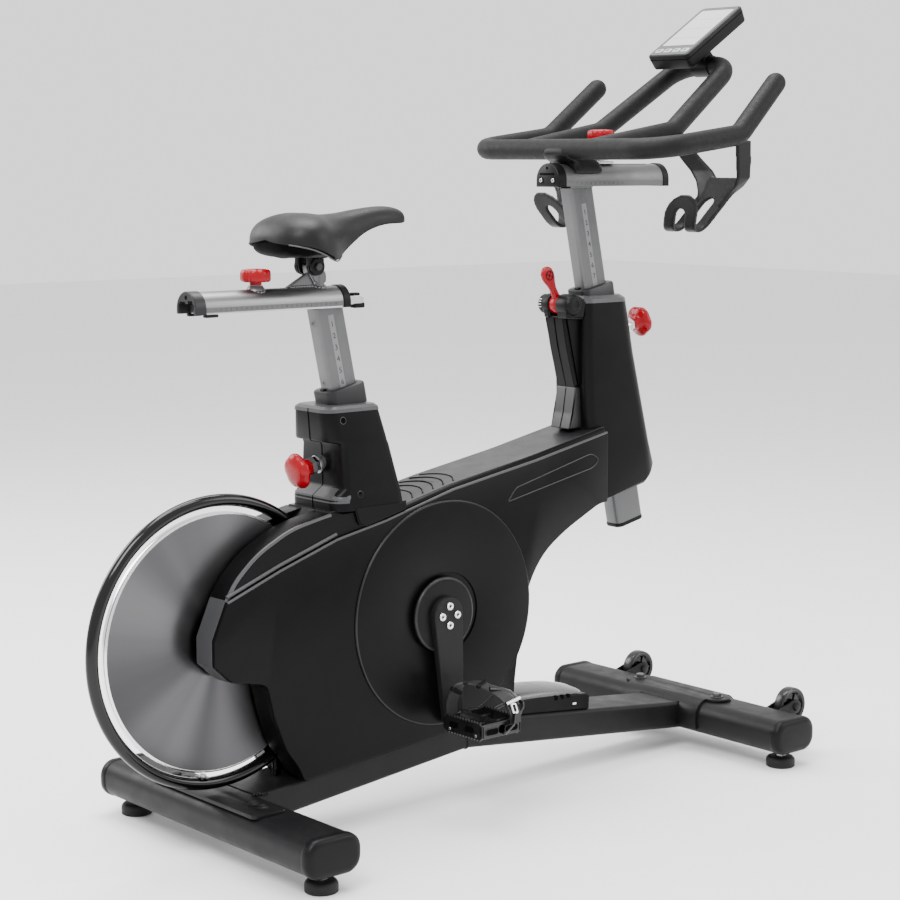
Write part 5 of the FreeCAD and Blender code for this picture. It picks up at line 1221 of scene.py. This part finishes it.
def knobs():
    lobed_knob("saddle_knob", "saddle_knob_group", "saddle_slide_knob", 74, 864.8, 0, 893.6)
    lobed_knob("bar_knob", "bar_knob_group", "bar_slide_knob", 818, 1068, 0, 1113)
    pull_knob("seat_pin_grip", "seat_pin_group", "seat_pull_knob", SEAT_TOP, SEAT_PIN_Z, False, 87, 29.5)
    pull_knob("head_pin_grip", "head_pin_group", "head_pull_knob", BAR_TOP, HEAD_PIN_Z, True, 86, 28)


# ----------------------------------------------------------------- the saddle
SADDLE = [  # x, half width, top height, skirt height, boxiness
    (92.5, 14, 962, 952, 0.8), (94, 34, 969, 949, 0.72), (100, 54, 980, 946, 0.62), (112, 70, 991, 943, 0.56),
    (130, 80, 998, 938, 0.53), (150, 82, 1001, 930, 0.54), (168, 78, 1000, 922, 0.58),
    (184, 69, 998, 920, 0.62),
    (200, 57, 997, 927, 0.68), (218, 45, 998, 936, 0.74), (240, 36, 1000, 947, 0.76),
    (264, 30.5, 1004, 961, 0.76),
    (290, 27, 1007, 970, 0.74), (316, 25, 1008, 975, 0.72), (338, 23.5, 1006.5, 975, 0.68),
    (352, 20.5, 1003.5, 975.5, 0.66),
    (361, 15.5, 999, 978, 0.68), (365, 8, 993.5, 983, 0.75)]


def saddle_section(x, w, top, low, p, steps=24, dip=0.0):
    """Ring round the pad: over the crown, under the rolled edge and back inside."""
    ring = []
    for i in range(steps + 1):
        a = pi * (i / steps - 0.5)
        y = w * sin(a)
        z = low + (top - low) * max(cos(a), 0.0) ** p
        z -= dip * exp(-(y / 11.0) ** 2)
        ring.append((x, y, z))
    deep = min((top - low) * 0.35, 16)
    for i in range(1, steps):
        a = pi * (0.5 - i / steps)
        inner = w * (1 - 0.2 * cos(a) ** 0.5)
        ring.append((x, inner * sin(a), low + deep * cos(a) ** 0.6))
    return ring


def smooth_line(points, steps=4):
    """Catmull-Rom curve through the points."""
    pts = [Vector(p) for p in points]
    pts = [pts[0] * 2 - pts[1]] + pts + [pts[-1] * 2 - pts[-2]]
    out = []
    for a, b, c, d in zip(pts, pts[1:], pts[2:], pts[3:]):
        for k in range(steps):
            t = k / steps
            out.append(0.5 * (2 * b + (c - a) * t + (2 * a - 5 * b + 4 * c - d) * t * t
                              + (3 * b - a - 3 * c + d) * t ** 3))
    out.append(pts[-2])
    return out


def saddle():
    g = Geo()
    rings = []
    for x, w, top, low, p in SADDLE:
        dip = 1.6 if 110 < x < 300 else 0.0
        rings.append(saddle_section(x, w, top, low + 3, p, dip=dip))
    g.loft(rings, "leather")
    obj = g.make("saddle_pad", "saddle_group", ["saddle_cushion"], sharp=80)
    apply(obj, ("SUBSURF", {"levels": 2, "render_levels": 2}))
    # Faces turned downwards take the darkest material: painted shade under the pad.
    obj.data.materials.append(M["seam_and_shade"])
    for poly in obj.data.polygons:
        if poly.normal.z < -0.15:
            poly.material_index = 1
    g = Geo()
    rings = []
    for x, k, top, low in ((97, 0.62, 962, 946), (102, 0.80, 968, 938), (114, 0.88, 972, 931),
                           (132, 0.9, 974, 929), (152, 0.9, 974, 931), (176, 0.86, 972, 936),
                           (200, 0.8, 972, 946), (230, 0.74, 980, 957), (270, 0.72, 990, 968),
                           (320, 0.7, 994, 977), (350, 0.6, 994, 984)):
        w = k * next(b[1] + (x - b[0]) * (c[1] - b[1]) / (c[0] - b[0]) for b,
                     c in zip(SADDLE, SADDLE[1:]) if b[0] <= x <= c[0])
        ring = [(x, w * cos(pi * i / 24), low + (top - low) * (1 - sin(pi * i / 24) ** 0.6) * 0.5)
                for i in range(25)]
        ring += [(x, -w * 0.98 * cos(pi * i / 24), top) for i in range(25)]
        rings.append(ring)
    g.loft(rings, "seam_and_shade")
    for s in (-1, 1):
        # A thin paler line along the rolled edge: a painted highlight.
        line = smooth_line([(x, s * (w * 0.985 - 0.4), low + 5.6) for x, w, top, low, p in SADDLE[2:9]])
        g.tube(line, 1.25, "bevel_highlight", 8)
        path = arc_path([(112, s * 34, 941), (134, s * 24, 935), (222, s * 24, 935), (292, s * 10, 979)],
                        [20, 30], 6)
        g.tube(path, 3.45, "chrome", 14)
    g.make("saddle_base", "saddle_group", ["saddle_shell"], sharp=50)
    g = Geo()
    place = sideways(CLAMP_PIN)
    for s in (-1, 1):
        for y0, y1, r in ((9.6, 12.4, 14), (12.4, 14.2, 12), (14.2, 17.4, 14.6), (17.4, 19.4, 12),
                          (19.4, 23, 13.6)):
            g.lathe([(0.5, s * y0), (r - 0.8, s * y0), (r, s * (y0 + 0.6)), (r, s * (y1 - 0.6)),
                     (r - 0.8, s * y1), (0.5, s * y1)], place, "satin", 40)
        g.hexagon(11, s * 23, s * 27, "print_and_hole_shade", place, 0.6)
        clamp = aim((178, s * 24, 935), (1, 0, 0), (0, 0, 1))
        g.lathe([(3.5, -16), (6.8, -16), (7.6, -14), (7.6, 14), (6.8, 16), (3.5, 16)], clamp, "gloss", 24)
        g.box(164, 192, min(s * 9.8, s * 21), max(s * 9.8, s * 21), 915, 934, "satin", 1.6)
    g.box(163, 193, -28, 28, 929, 935, "satin", 1.8)
    g.make("saddle_clamp_set", "saddle_group", ["saddle_clamp"])


# -------------------------------------------------------------- the handlebar
def handlebar():
    g = Geo()
    left = [(724, 234, 1099), (915, 236, 1123), (1023, 221, 1213)]
    line = [(x, -y, z) for x, y, z in reversed(left)] + left
    g.tube(arc_path(line, [45, 62, 62, 45], 14), 18.2, "foam", 32, dome=True)
    loop = [(726, -80, 1101), (904, -90, 1131), (1082, -62, 1250)]
    loop += [(x, -y, z) for x, y, z in reversed(loop)]
    g.tube(arc_path(loop, [40, 46, 46, 40], 14), 17.6, "foam", 32, dome=True)
    g.make("handlebar_grip", "handlebar_group", ["handlebar"])
    obj = bpy.data.objects["handlebar_grip"]
    soften(obj, 2.5, 6, 0.5)
    g = Geo()
    z = BAR_RAIL_Z
    rings = []
    for x, grow in ((727, 3.4), (730, 4.8), (790, 4.8), (794, 3.4)):
        half = 27 + grow
        ring = []
        for i in range(21):
            a = pi * (1 - i / 20)
            ring.append((x, half * cos(a), z + 26 + (38 - 11 + grow - 15) * max(sin(a), 0) ** 0.8))
        inner = [(x, 27.3 * cos(pi * i / 20), z + 19 + (38 - 19 + 0.3) * sin(pi * i / 20)) for i in range(21)]
        rings.append(ring + inner)
    g.loft(rings, "satin")
    rows = ((1106, 726, 17, 25), (1099, 727, 23, 30), (1090, 732, 29, 33), (1082, 743, 33, 34),
            (1075.8, 757, 32, 34), (1066, 761, 33, 33))
    g.loft([[(a, b, zz) for a, b in rounded_rect(2 * hx, 2 * hy, 11, x=cx)] for zz, cx, hx, hy in rows],
           "satin")
    g.tube([(724, -34, 1099), (724, 34, 1099)], 15.6, "satin", 24)
    obj = g.make("bar_saddle_block", "handlebar_group", ["bar_neck"])
    soften(obj, 2.2, 9, 0.6)
    g = Geo()
    g.box(788, 838, -16, 16, 1074.4, 1079, "zinc", 1.2, 6)
    plate = upright((818, 0, 1080))
    g.lathe([(6.2, 0), (12.5, 0), (12.5, 1.6), (6.2, 1.6)], plate, "zinc", 32)
    g.make("bar_clamp_plate", "handlebar_group")


def bottle_holders():
    hook = smooth_line([(x, 0, z) for x, z in ((935, 1050), (918, 1018), (902, 984), (894, 969), (885, 961.5),
                                               (873, 961), (864, 968), (856, 984), (848, 1004), (842, 1022))],
                       6)
    lengths = [0.0]
    for p, q in zip(hook, hook[1:]):
        lengths.append(lengths[-1] + (q - p).length)
    total = lengths[-1]

    def at(d):
        i = next((k for k in range(len(lengths) - 1) if lengths[k + 1] >= d), len(lengths) - 2)
        return hook[i].lerp(hook[i + 1], (d - lengths[i]) / (lengths[i + 1] - lengths[i]))

    step, half = 1.9, 38.0
    for side, s in SIDES:
        g = Geo()
        rows = int(total / step)
        cols = int(2 * half / step)
        keep_cell = set()
        for i in range(rows):
            for j in range(cols):
                d, t = (i + 0.5) * step, -half + (j + 0.5) * step
                ahead = total - d
                inside = ahead > half or (half - ahead) ** 2 + t * t < half ** 2
                gap0, gap1 = 40.0, total - 25.0
                near = min(max(d, gap0 + 11), gap1 - 11)
                if inside and (d - near) ** 2 + t * t > 121.0:
                    keep_cell.add((i, j))
        for i, j in keep_cell:
            corners = []
            for di, dj in ((0, 0), (1, 0), (1, 1), (0, 1)):
                p = at((i + di) * step)
                n = (at(min((i + di) * step + 1.5, total)) - at(max((i + di) * step - 1.5, 0))).normalized()
                out = Vector((n.z, 0, -n.x)) * 3.4
                y = 145 + (p.z - 962) * 0.59 - (-half + (j + dj) * step)
                corners.append((p, y, out))
            shell = [[(p.x + f * o.x, s * y, p.z + f * o.z) for p, y, o in corners] for f in (-1, 1)]
            g.loft(shell, "holder")
        strap = ((1127, 906, 94, 17), (1106, 912, 104, 17), (1084, 921, 119, 18.5), (1062, 930, 137, 20),
                 (1044, 931, 150, 20), (1026, 923, 155, 15), (1010, 916, 152, 9))
        g.loft([[(cx + hw * 0.5 * a - 3.4 * c, s * (cy + hw * 0.86 * a + 1.5 * c), cz)
                 for a, c in QUAD] for cz, cx, cy, hw in strap], "holder")
        strap = ((1114, 929, 233, 17, 0.0), (1080, 931, 233, 17, 0.0), (1050, 932, 232, 16.5, 0.1),
                 (1036, 930, 224, 15, 0.3), (1020, 922, 208, 14, 0.5), (1004, 914, 196, 13, 0.7))
        g.loft([[(cx + hw * a * (1 - turn * 0.5), s * (cy + 3.6 * c - hw * a * turn * 0.5), cz)
                 for a, c in QUAD] for cz, cx, cy, hw, turn in strap], "holder")
        obj = g.make("bottle_holder_" + side, "handlebar_group",
                     ["bottle_holders"] if s < 0 else ())
        soften(obj, 1.7, 9, 0.6)


def console_frame(u, v, w):
    """Local axes of the console: u up its face, v across and w out of it."""
    c, s = cos(CONSOLE_SLOPE), sin(CONSOLE_SLOPE)
    return 980 + u * c - w * s, v, 1266 + u * s + w * c


def slab(g, outline, heights, mat):
    """Outline on the face of the console, skinned between heights above it."""
    g.loft([[console_frame(a, b, w) for a, b in outline] for w in heights], mat)


def console():
    g = Geo()
    rings = []
    for w, d in ((-30, 5), (-28.6, 2.4), (-26, 1.2), (-9, 0.2), (-2.6, 0), (-1.0, 0.5), (0, 2.2)):
        outline = rounded_rect(173 - 2 * d, 98 - 2 * d, 8, x=86.5)
        rings.append([console_frame(a, b, w) for a, b in outline])
    g.loft(rings, "satin")
    slab(g, rounded_rect(173.6, 98.6, 8.4, x=86.5), (-9.6, -8.6), "seam_and_shade")
    slab(g, rounded_rect(165, 90, 6, x=86.5), (-1.5, 0.3), "bezel")
    slab(g, rounded_rect(124, 78, 3, 4, 98), (-1.0, 0.55), "lcd")
    for k in range(3):
        slab(g, rounded_rect(0.5, 66, 0.2, 2, 62 + 33 * k), (0.3, 0.62), "bezel")
    for k in range(4):
        across = -31.5 + 21 * k
        key = rounded_rect(13, 17, 4, 4, 18, across)
        rings = [[console_frame(a, b, w) for a, b in inset(key, d)] for w,
                 d in ((0.0, 0), (0.8, 0.1), (1.3, 1.0))]
        g.loft(rings, "key")
        slab(g, rounded_rect(4.5, 7, 1.5, 3, 18, across), (1.0, 1.45), "bezel")
    lug = [console_frame(62, 0, -29), console_frame(118, 0, -29), (1078, 0, 1280), (1064, 0, 1280)]
    g.prism(round_corners([(p[0], p[2]) for p in lug], 3, 3), -10, 10, "satin", bevel=1.2)
    pivot = sideways(CONSOLE_PIN)
    g.rod(7, -10, 10, pivot, "satin", 28)
    g.rod(4, -19, 19, pivot, "zinc", 20)
    for s in (-1, 1):
        g.hexagon(8, s * 16, s * 19.6, "zinc", pivot, 0.5)
    # Screw holes drawn as dark discs of painted shade.
    for u, v in ((12, 40), (12, -40), (160, 40), (160, -40)):
        back = aim(console_frame(u, v, -30), (0.5373, 0, -0.8434))
        g.lathe([(0.3, 0.3), (3.2, 0.25), (3.2, -0.5)], back, "seam_and_shade", 20)
    g.make("console_unit", "console_group", ["console"])
    g = Geo()
    cross = sideways((1082, 0, 1250))
    g.ring([(16.3, -20), (18.6, -20), (19.4, -19), (19.4, 19), (18.6, 20), (16.3, 20)], cross, "satin", 48)
    for s in (-1, 1):
        y0, y1 = sorted((s * 10.4, s * 15))
        ear = [(1065, 1259), (1090, 1267), (1077.4, 1280), (1064.6, 1280)]
        g.prism(round_corners(ear, 2, 3), y0, y1, "satin", bevel=0.8)
        place = sideways(CONSOLE_PIN)
        g.lathe([(4.1, y0), (6.5, y0), (6.5, y1), (4.1, y1)], place, "satin", 28)
        g.socket_screw(aim((1092, s * 15, 1233), (0.5, 0, -0.85)), 3.4, "zinc", 2.0)
    g.make("console_clamp", "handlebar_group", ["console_mount"])


# ------------------------------------------------------------------ the drive
def crank_end(s):
    reach = s * CRANK_LENGTH
    return CRANK[0] - reach * sin(CRANK_TURN), CRANK[1] + reach * cos(CRANK_TURN)


def cranks():
    for side, s in SIDES:
        ex, ez = crank_end(s)
        g = Geo()
        place = sideways((CRANK[0], 0, CRANK[1]), s)
        g.lathe([(0.5, 74), (62, 74), (63, 75), (63, 78), (61.6, 79.6), (58, 80.2), (34, 80.2), (0.5, 80.2)],
                place, "satin", 96)
        # A thin paler ring round the disc's rim: a painted highlight.
        g.ring([(58, 79.8), (59.2, 80.9), (61.4, 80.2), (62.4, 79.0)], place, "grey_trim_and_highlight", 96)
        u = Vector((ex - CRANK[0], 0, ez - CRANK[1])).normalized()
        across = u.cross(Vector((0, 1, 0)))
        outline = []
        for centre, r, start in (((CRANK[0], CRANK[1]), 31.0, 0), ((ex, ez), 20.0, 180)):
            for k in range(13):
                a = radians(start + 180 * k / 12)
                d = across * cos(a) - u * sin(a)
                outline.append((centre[0] + d.x * r, centre[1] + d.z * r))
        depth = [(80, 0), (89, 0), (90.8, 0.7), (92, 2.4)]
        g.loft([[(a, s * y, b) for a, b in inset(outline, w)] for y, w in depth], "powder")
        axle = sideways((ex, 0, ez), s)
        g.lathe([(0.5, 90), (9, 90), (9, 98), (6, 98.5), (6, 194), (0.5, 194)], axle, "zinc", 28)
        g.hexagon(15, 92, 98, "zinc", axle, 0.6)
        g.make(side + "_crank_arm", "crank_group", [side + "_crank"])
    g = Geo()
    for s in (-1, 1):
        for i in range(4):
            a = radians(90 * i)
            place = sideways((CRANK[0] + 16 * cos(a), s * 92, CRANK[1] + 16 * sin(a)), s)
            g.ring([(3.0, 0), (6.5, 0), (6.5, 2.6), (5.9, 3.4), (3.4, 3.5), (3.0, 2.9)], place, "chrome", 32)
            g.lathe([(0.3, 1.6), (3.2, 1.6), (3.2, 0)], place, "zinc", 20)
            # The dark hexagon is painted shade in the bolt's socket.
            g.hexagon(4.4, 0.4, 2.2, "print_and_hole_shade", place, 0.1)
    g.make("crank_bolt_set", "crank_group", ["crank_bolts"])


def pedals():
    for side, s in SIDES:
        cx, cz = crank_end(s)
        g = Geo()
        axle = sideways((cx, 0, cz), s)
        g.lathe([(6.1, 112), (13, 112), (14, 113.5), (14, 122), (11.5, 126), (11.5, 194), (12, 198),
                 (12, 203), (7, 208), (0.5, 208)], axle, "pedal", 40)
        y0, y1 = sorted((s * PEDAL_NEAR, s * PEDAL_FAR))
        for f in (-1, 1):
            xa, xb = sorted((cx + f * 42, cx + f * 38))
            teeth_low, teeth_high = [], []
            for i in range(TEETH):
                t0 = y0 + 6 + (y1 - y0 - 12) * i / TEETH
                t1 = y0 + 6 + (y1 - y0 - 12) * (i + 0.5) / TEETH
                teeth_low += [(t0, cz - 13), (t0 + 0.8, cz - 16), (t1 - 0.8, cz - 16), (t1, cz - 13)]
                teeth_high += [(t0, cz + 13), (t0 + 0.8, cz + 16), (t1 - 0.8, cz + 16), (t1, cz + 13)]
            outline = [(y0, cz - 10)] + teeth_low + [(y1, cz - 10), (y1, cz + 10)]
            outline += teeth_high[::-1] + [(y0, cz + 10)]
            g.prism(outline, xa, xb, "pedal", yz, 0.35)
        for y in (y0 + 3, y1 - 3):
            outline = round_corners([(cx - 42, cz - 12), (cx + 42, cz - 12), (cx + 42, cz + 12),
                                     (cx - 42, cz + 12)], 6)
            g.prism(outline, y - 3, y + 3, "pedal", bevel=1.2)
        for f in (-1, 1):
            for y in (y0 + 30, y1 - 30):
                g.box(min(cx, cx + f * 40), max(cx, cx + f * 40), y - 2.5, y + 2.5, cz - 7, cz + 7, "pedal",
                      0.8)
        # The slots are thin dark plates of painted shade.
        for f in (-1, 1):
            for t in (0.22, 0.62):
                y = y0 + (y1 - y0) * t
                slot = rounded_rect(22, 10, 4.8, x=y + 10, y=cz)
                x = cx + f * 42
                g.prism(slot, min(x, x + f * 0.5), max(x, x + f * 0.5), "seam_and_shade", yz, 0.1)
        # Each end slot is a dark plate of painted shade ringed by a paler line of painted highlight.
        for f in (-1, 1):
            slot = rounded_rect(28, 11, 5.4, x=cx + 21 * f, y=cz - 1)
            y = s * 208
            g.prism(slot, min(y, y + s * 0.5), max(y, y + s * 0.5), "seam_and_shade", xz, 0.1)
            ring = [(a, y + s * 0.5, b) for a, b in slot]
            g.tube(ring + ring[:1], 0.7, "grey_trim_and_highlight", 6)
        for f, y in ((-1, y0 + 16), (-1, y1 - 16), (1, y0 + 16), (1, y1 - 16)):
            g.socket_screw(aim((cx + f * 42, y, cz - 8), (f, 0, 0)), 2.4, "zinc", 0.8)
        g.make(side + "_pedal_cage", side + "_pedal_group", [side + "_pedal"])
        g = Geo()
        straps(g, cx, cz, s)
        g.make(side + "_toe_cage", side + "_pedal_group", [side + "_toe_strap"], sharp=50)


def straps(g, cx, cz, s):
    """Toe strap over the pedal, its buckle, and the wire-like toe clip in front."""
    def at(x, y, z):
        return cx + x, s * y, cz + z

    path = smooth_line([at(-27, 116, 8), at(-26, 116, 34), at(-14, 122, 58), at(4, 140, 63),
                        at(14, 165, 56), at(22, 192, 44), at(27, 208, 26), at(28, 211, 6)], 5)
    band = []
    for i, p in enumerate(path):
        along = (path[min(i + 1, len(path) - 1)] - path[max(i - 1, 0)]).normalized()
        across = (Vector((1, 0, 0)) - along * along.x).normalized()
        out = along.cross(across).normalized()
        band.append([p + across * a * 11 + out * c * 1.5 for a, c in QUAD])
    g.loft(band, "strap")
    for k in (8, 12, 17):
        p, along = path[k], (path[k + 1] - path[k - 1]).normalized()
        clip = aim(p, along, (1, 0, 0))
        g.box(-3.4, 3.4, -13, 13, -4, 4, "satin", 1.2, place=clip)
    lip = []
    for t in range(9):
        a = pi * t / 8
        lip.append((cx + 44 + 38 * sin(a), s * 160 + 30 * cos(a), cz + 4 + 20 * sin(a)))
    g.tube(lip, 3.4, "pedal", 12, squash=0.7)
    upper = [at(6, 148, 59), at(30, 146, 55), at(52, 148, 46), at(72, 153, 30),
             at(78, 158, 22)]
    g.tube(upper, 3.6, "pedal", 12, squash=0.6)
    upper = [(x, s * 320 - y, z) for x, y, z in upper]
    g.tube(upper, 3.6, "pedal", 12, squash=0.6)
    buckle = aim(at(26, 209.5, 30), (0, s, 0.45))
    g.box(-6, 6, -9, 9, -1.6, 1.6, "zinc", 0.8, 3, place=buckle)
    g.box(-3, 3, -6, 6, 1.2, 2.2, "satin", 0.4, 2, place=buckle)
    g.lathe([(0.4, -15), (3.2, -15), (3.2, 15), (0.4, 15)], aim(at(26, 206, 42), (1, 0, 0.2)), "chrome", 16)
    tail = [at(27, 212, 22), at(20, 217, 6), at(4, 214, -8)]
    g.tube(tail, 5.5, "strap", 10, squash=0.22)


# ---------------------------------------------------------- camera and studio
LENS = 85.957  # millimetres, on a 36 mm sensor
CAMERA_AT = (-2.31645, -2.73012, 1.08340)  # metres
CAMERA_TURN, CAMERA_DOWN = 0.7060609, 0.13485815  # radians from +y and below level
LAMPS = (  # name, place, size and power
    ("key", (-2.4, -1.2, 3.4), 1.8, 150), ("fill", (2.6, -2.8, 2.4), 2.0, 60),
    ("top", (0.2, 0.4, 3.6), 2.4, 190), ("back", (-1.6, 3.0, 2.4), 2.0, 110))


def studio():
    camera = bpy.data.cameras.new("camera")
    camera.lens = LENS
    camera.sensor_width = 36.0
    camera.clip_end = 60.0
    cam = linked("camera", camera)
    cam.location = CAMERA_AT
    look = Vector((sin(CAMERA_TURN) * cos(CAMERA_DOWN), cos(CAMERA_TURN) * cos(CAMERA_DOWN),
                   -sin(CAMERA_DOWN)))
    cam.rotation_euler = look.to_track_quat("-Z", "Y").to_euler()
    SCENE.camera = cam
    me = bpy.data.meshes.new("floor")
    me.from_pydata([(-14, -14, 0), (14, -14, 0), (14, 14, 0), (-14, 14, 0)], [], [(0, 1, 2, 3)])
    me.materials.append(surface("pale_floor", (0.86, 0.86, 0.86), 0.7, vary=0.01))
    floor = linked("floor", me)
    world = bpy.data.worlds.new("studio")
    world.use_nodes = True
    world.node_tree.nodes["Background"].inputs["Color"].default_value = (1, 1, 1, 1)
    world.node_tree.nodes["Background"].inputs["Strength"].default_value = 1.5
    SCENE.world = world
    for name, place, size, power in LAMPS:
        light = bpy.data.lights.new(name, "AREA")
        light.size = size
        light.energy = power
        lamp = linked(name, light)
        lamp.location = place
        lamp.rotation_euler = (Vector((0, 0, 0.6)) - Vector(place)).to_track_quat("-Z", "Y").to_euler()


studio()
stabilisers()
base_frame()
feet()
transport_wheels()
flywheel()
shroud(-1)
shroud(1)
cover_middle()
seat_tower()
head_tower()
lever_block()
beam_box()
posts()
rails()
collars()
knobs()
saddle()
handlebar()
bottle_holders()
console()
cranks()
pedals()
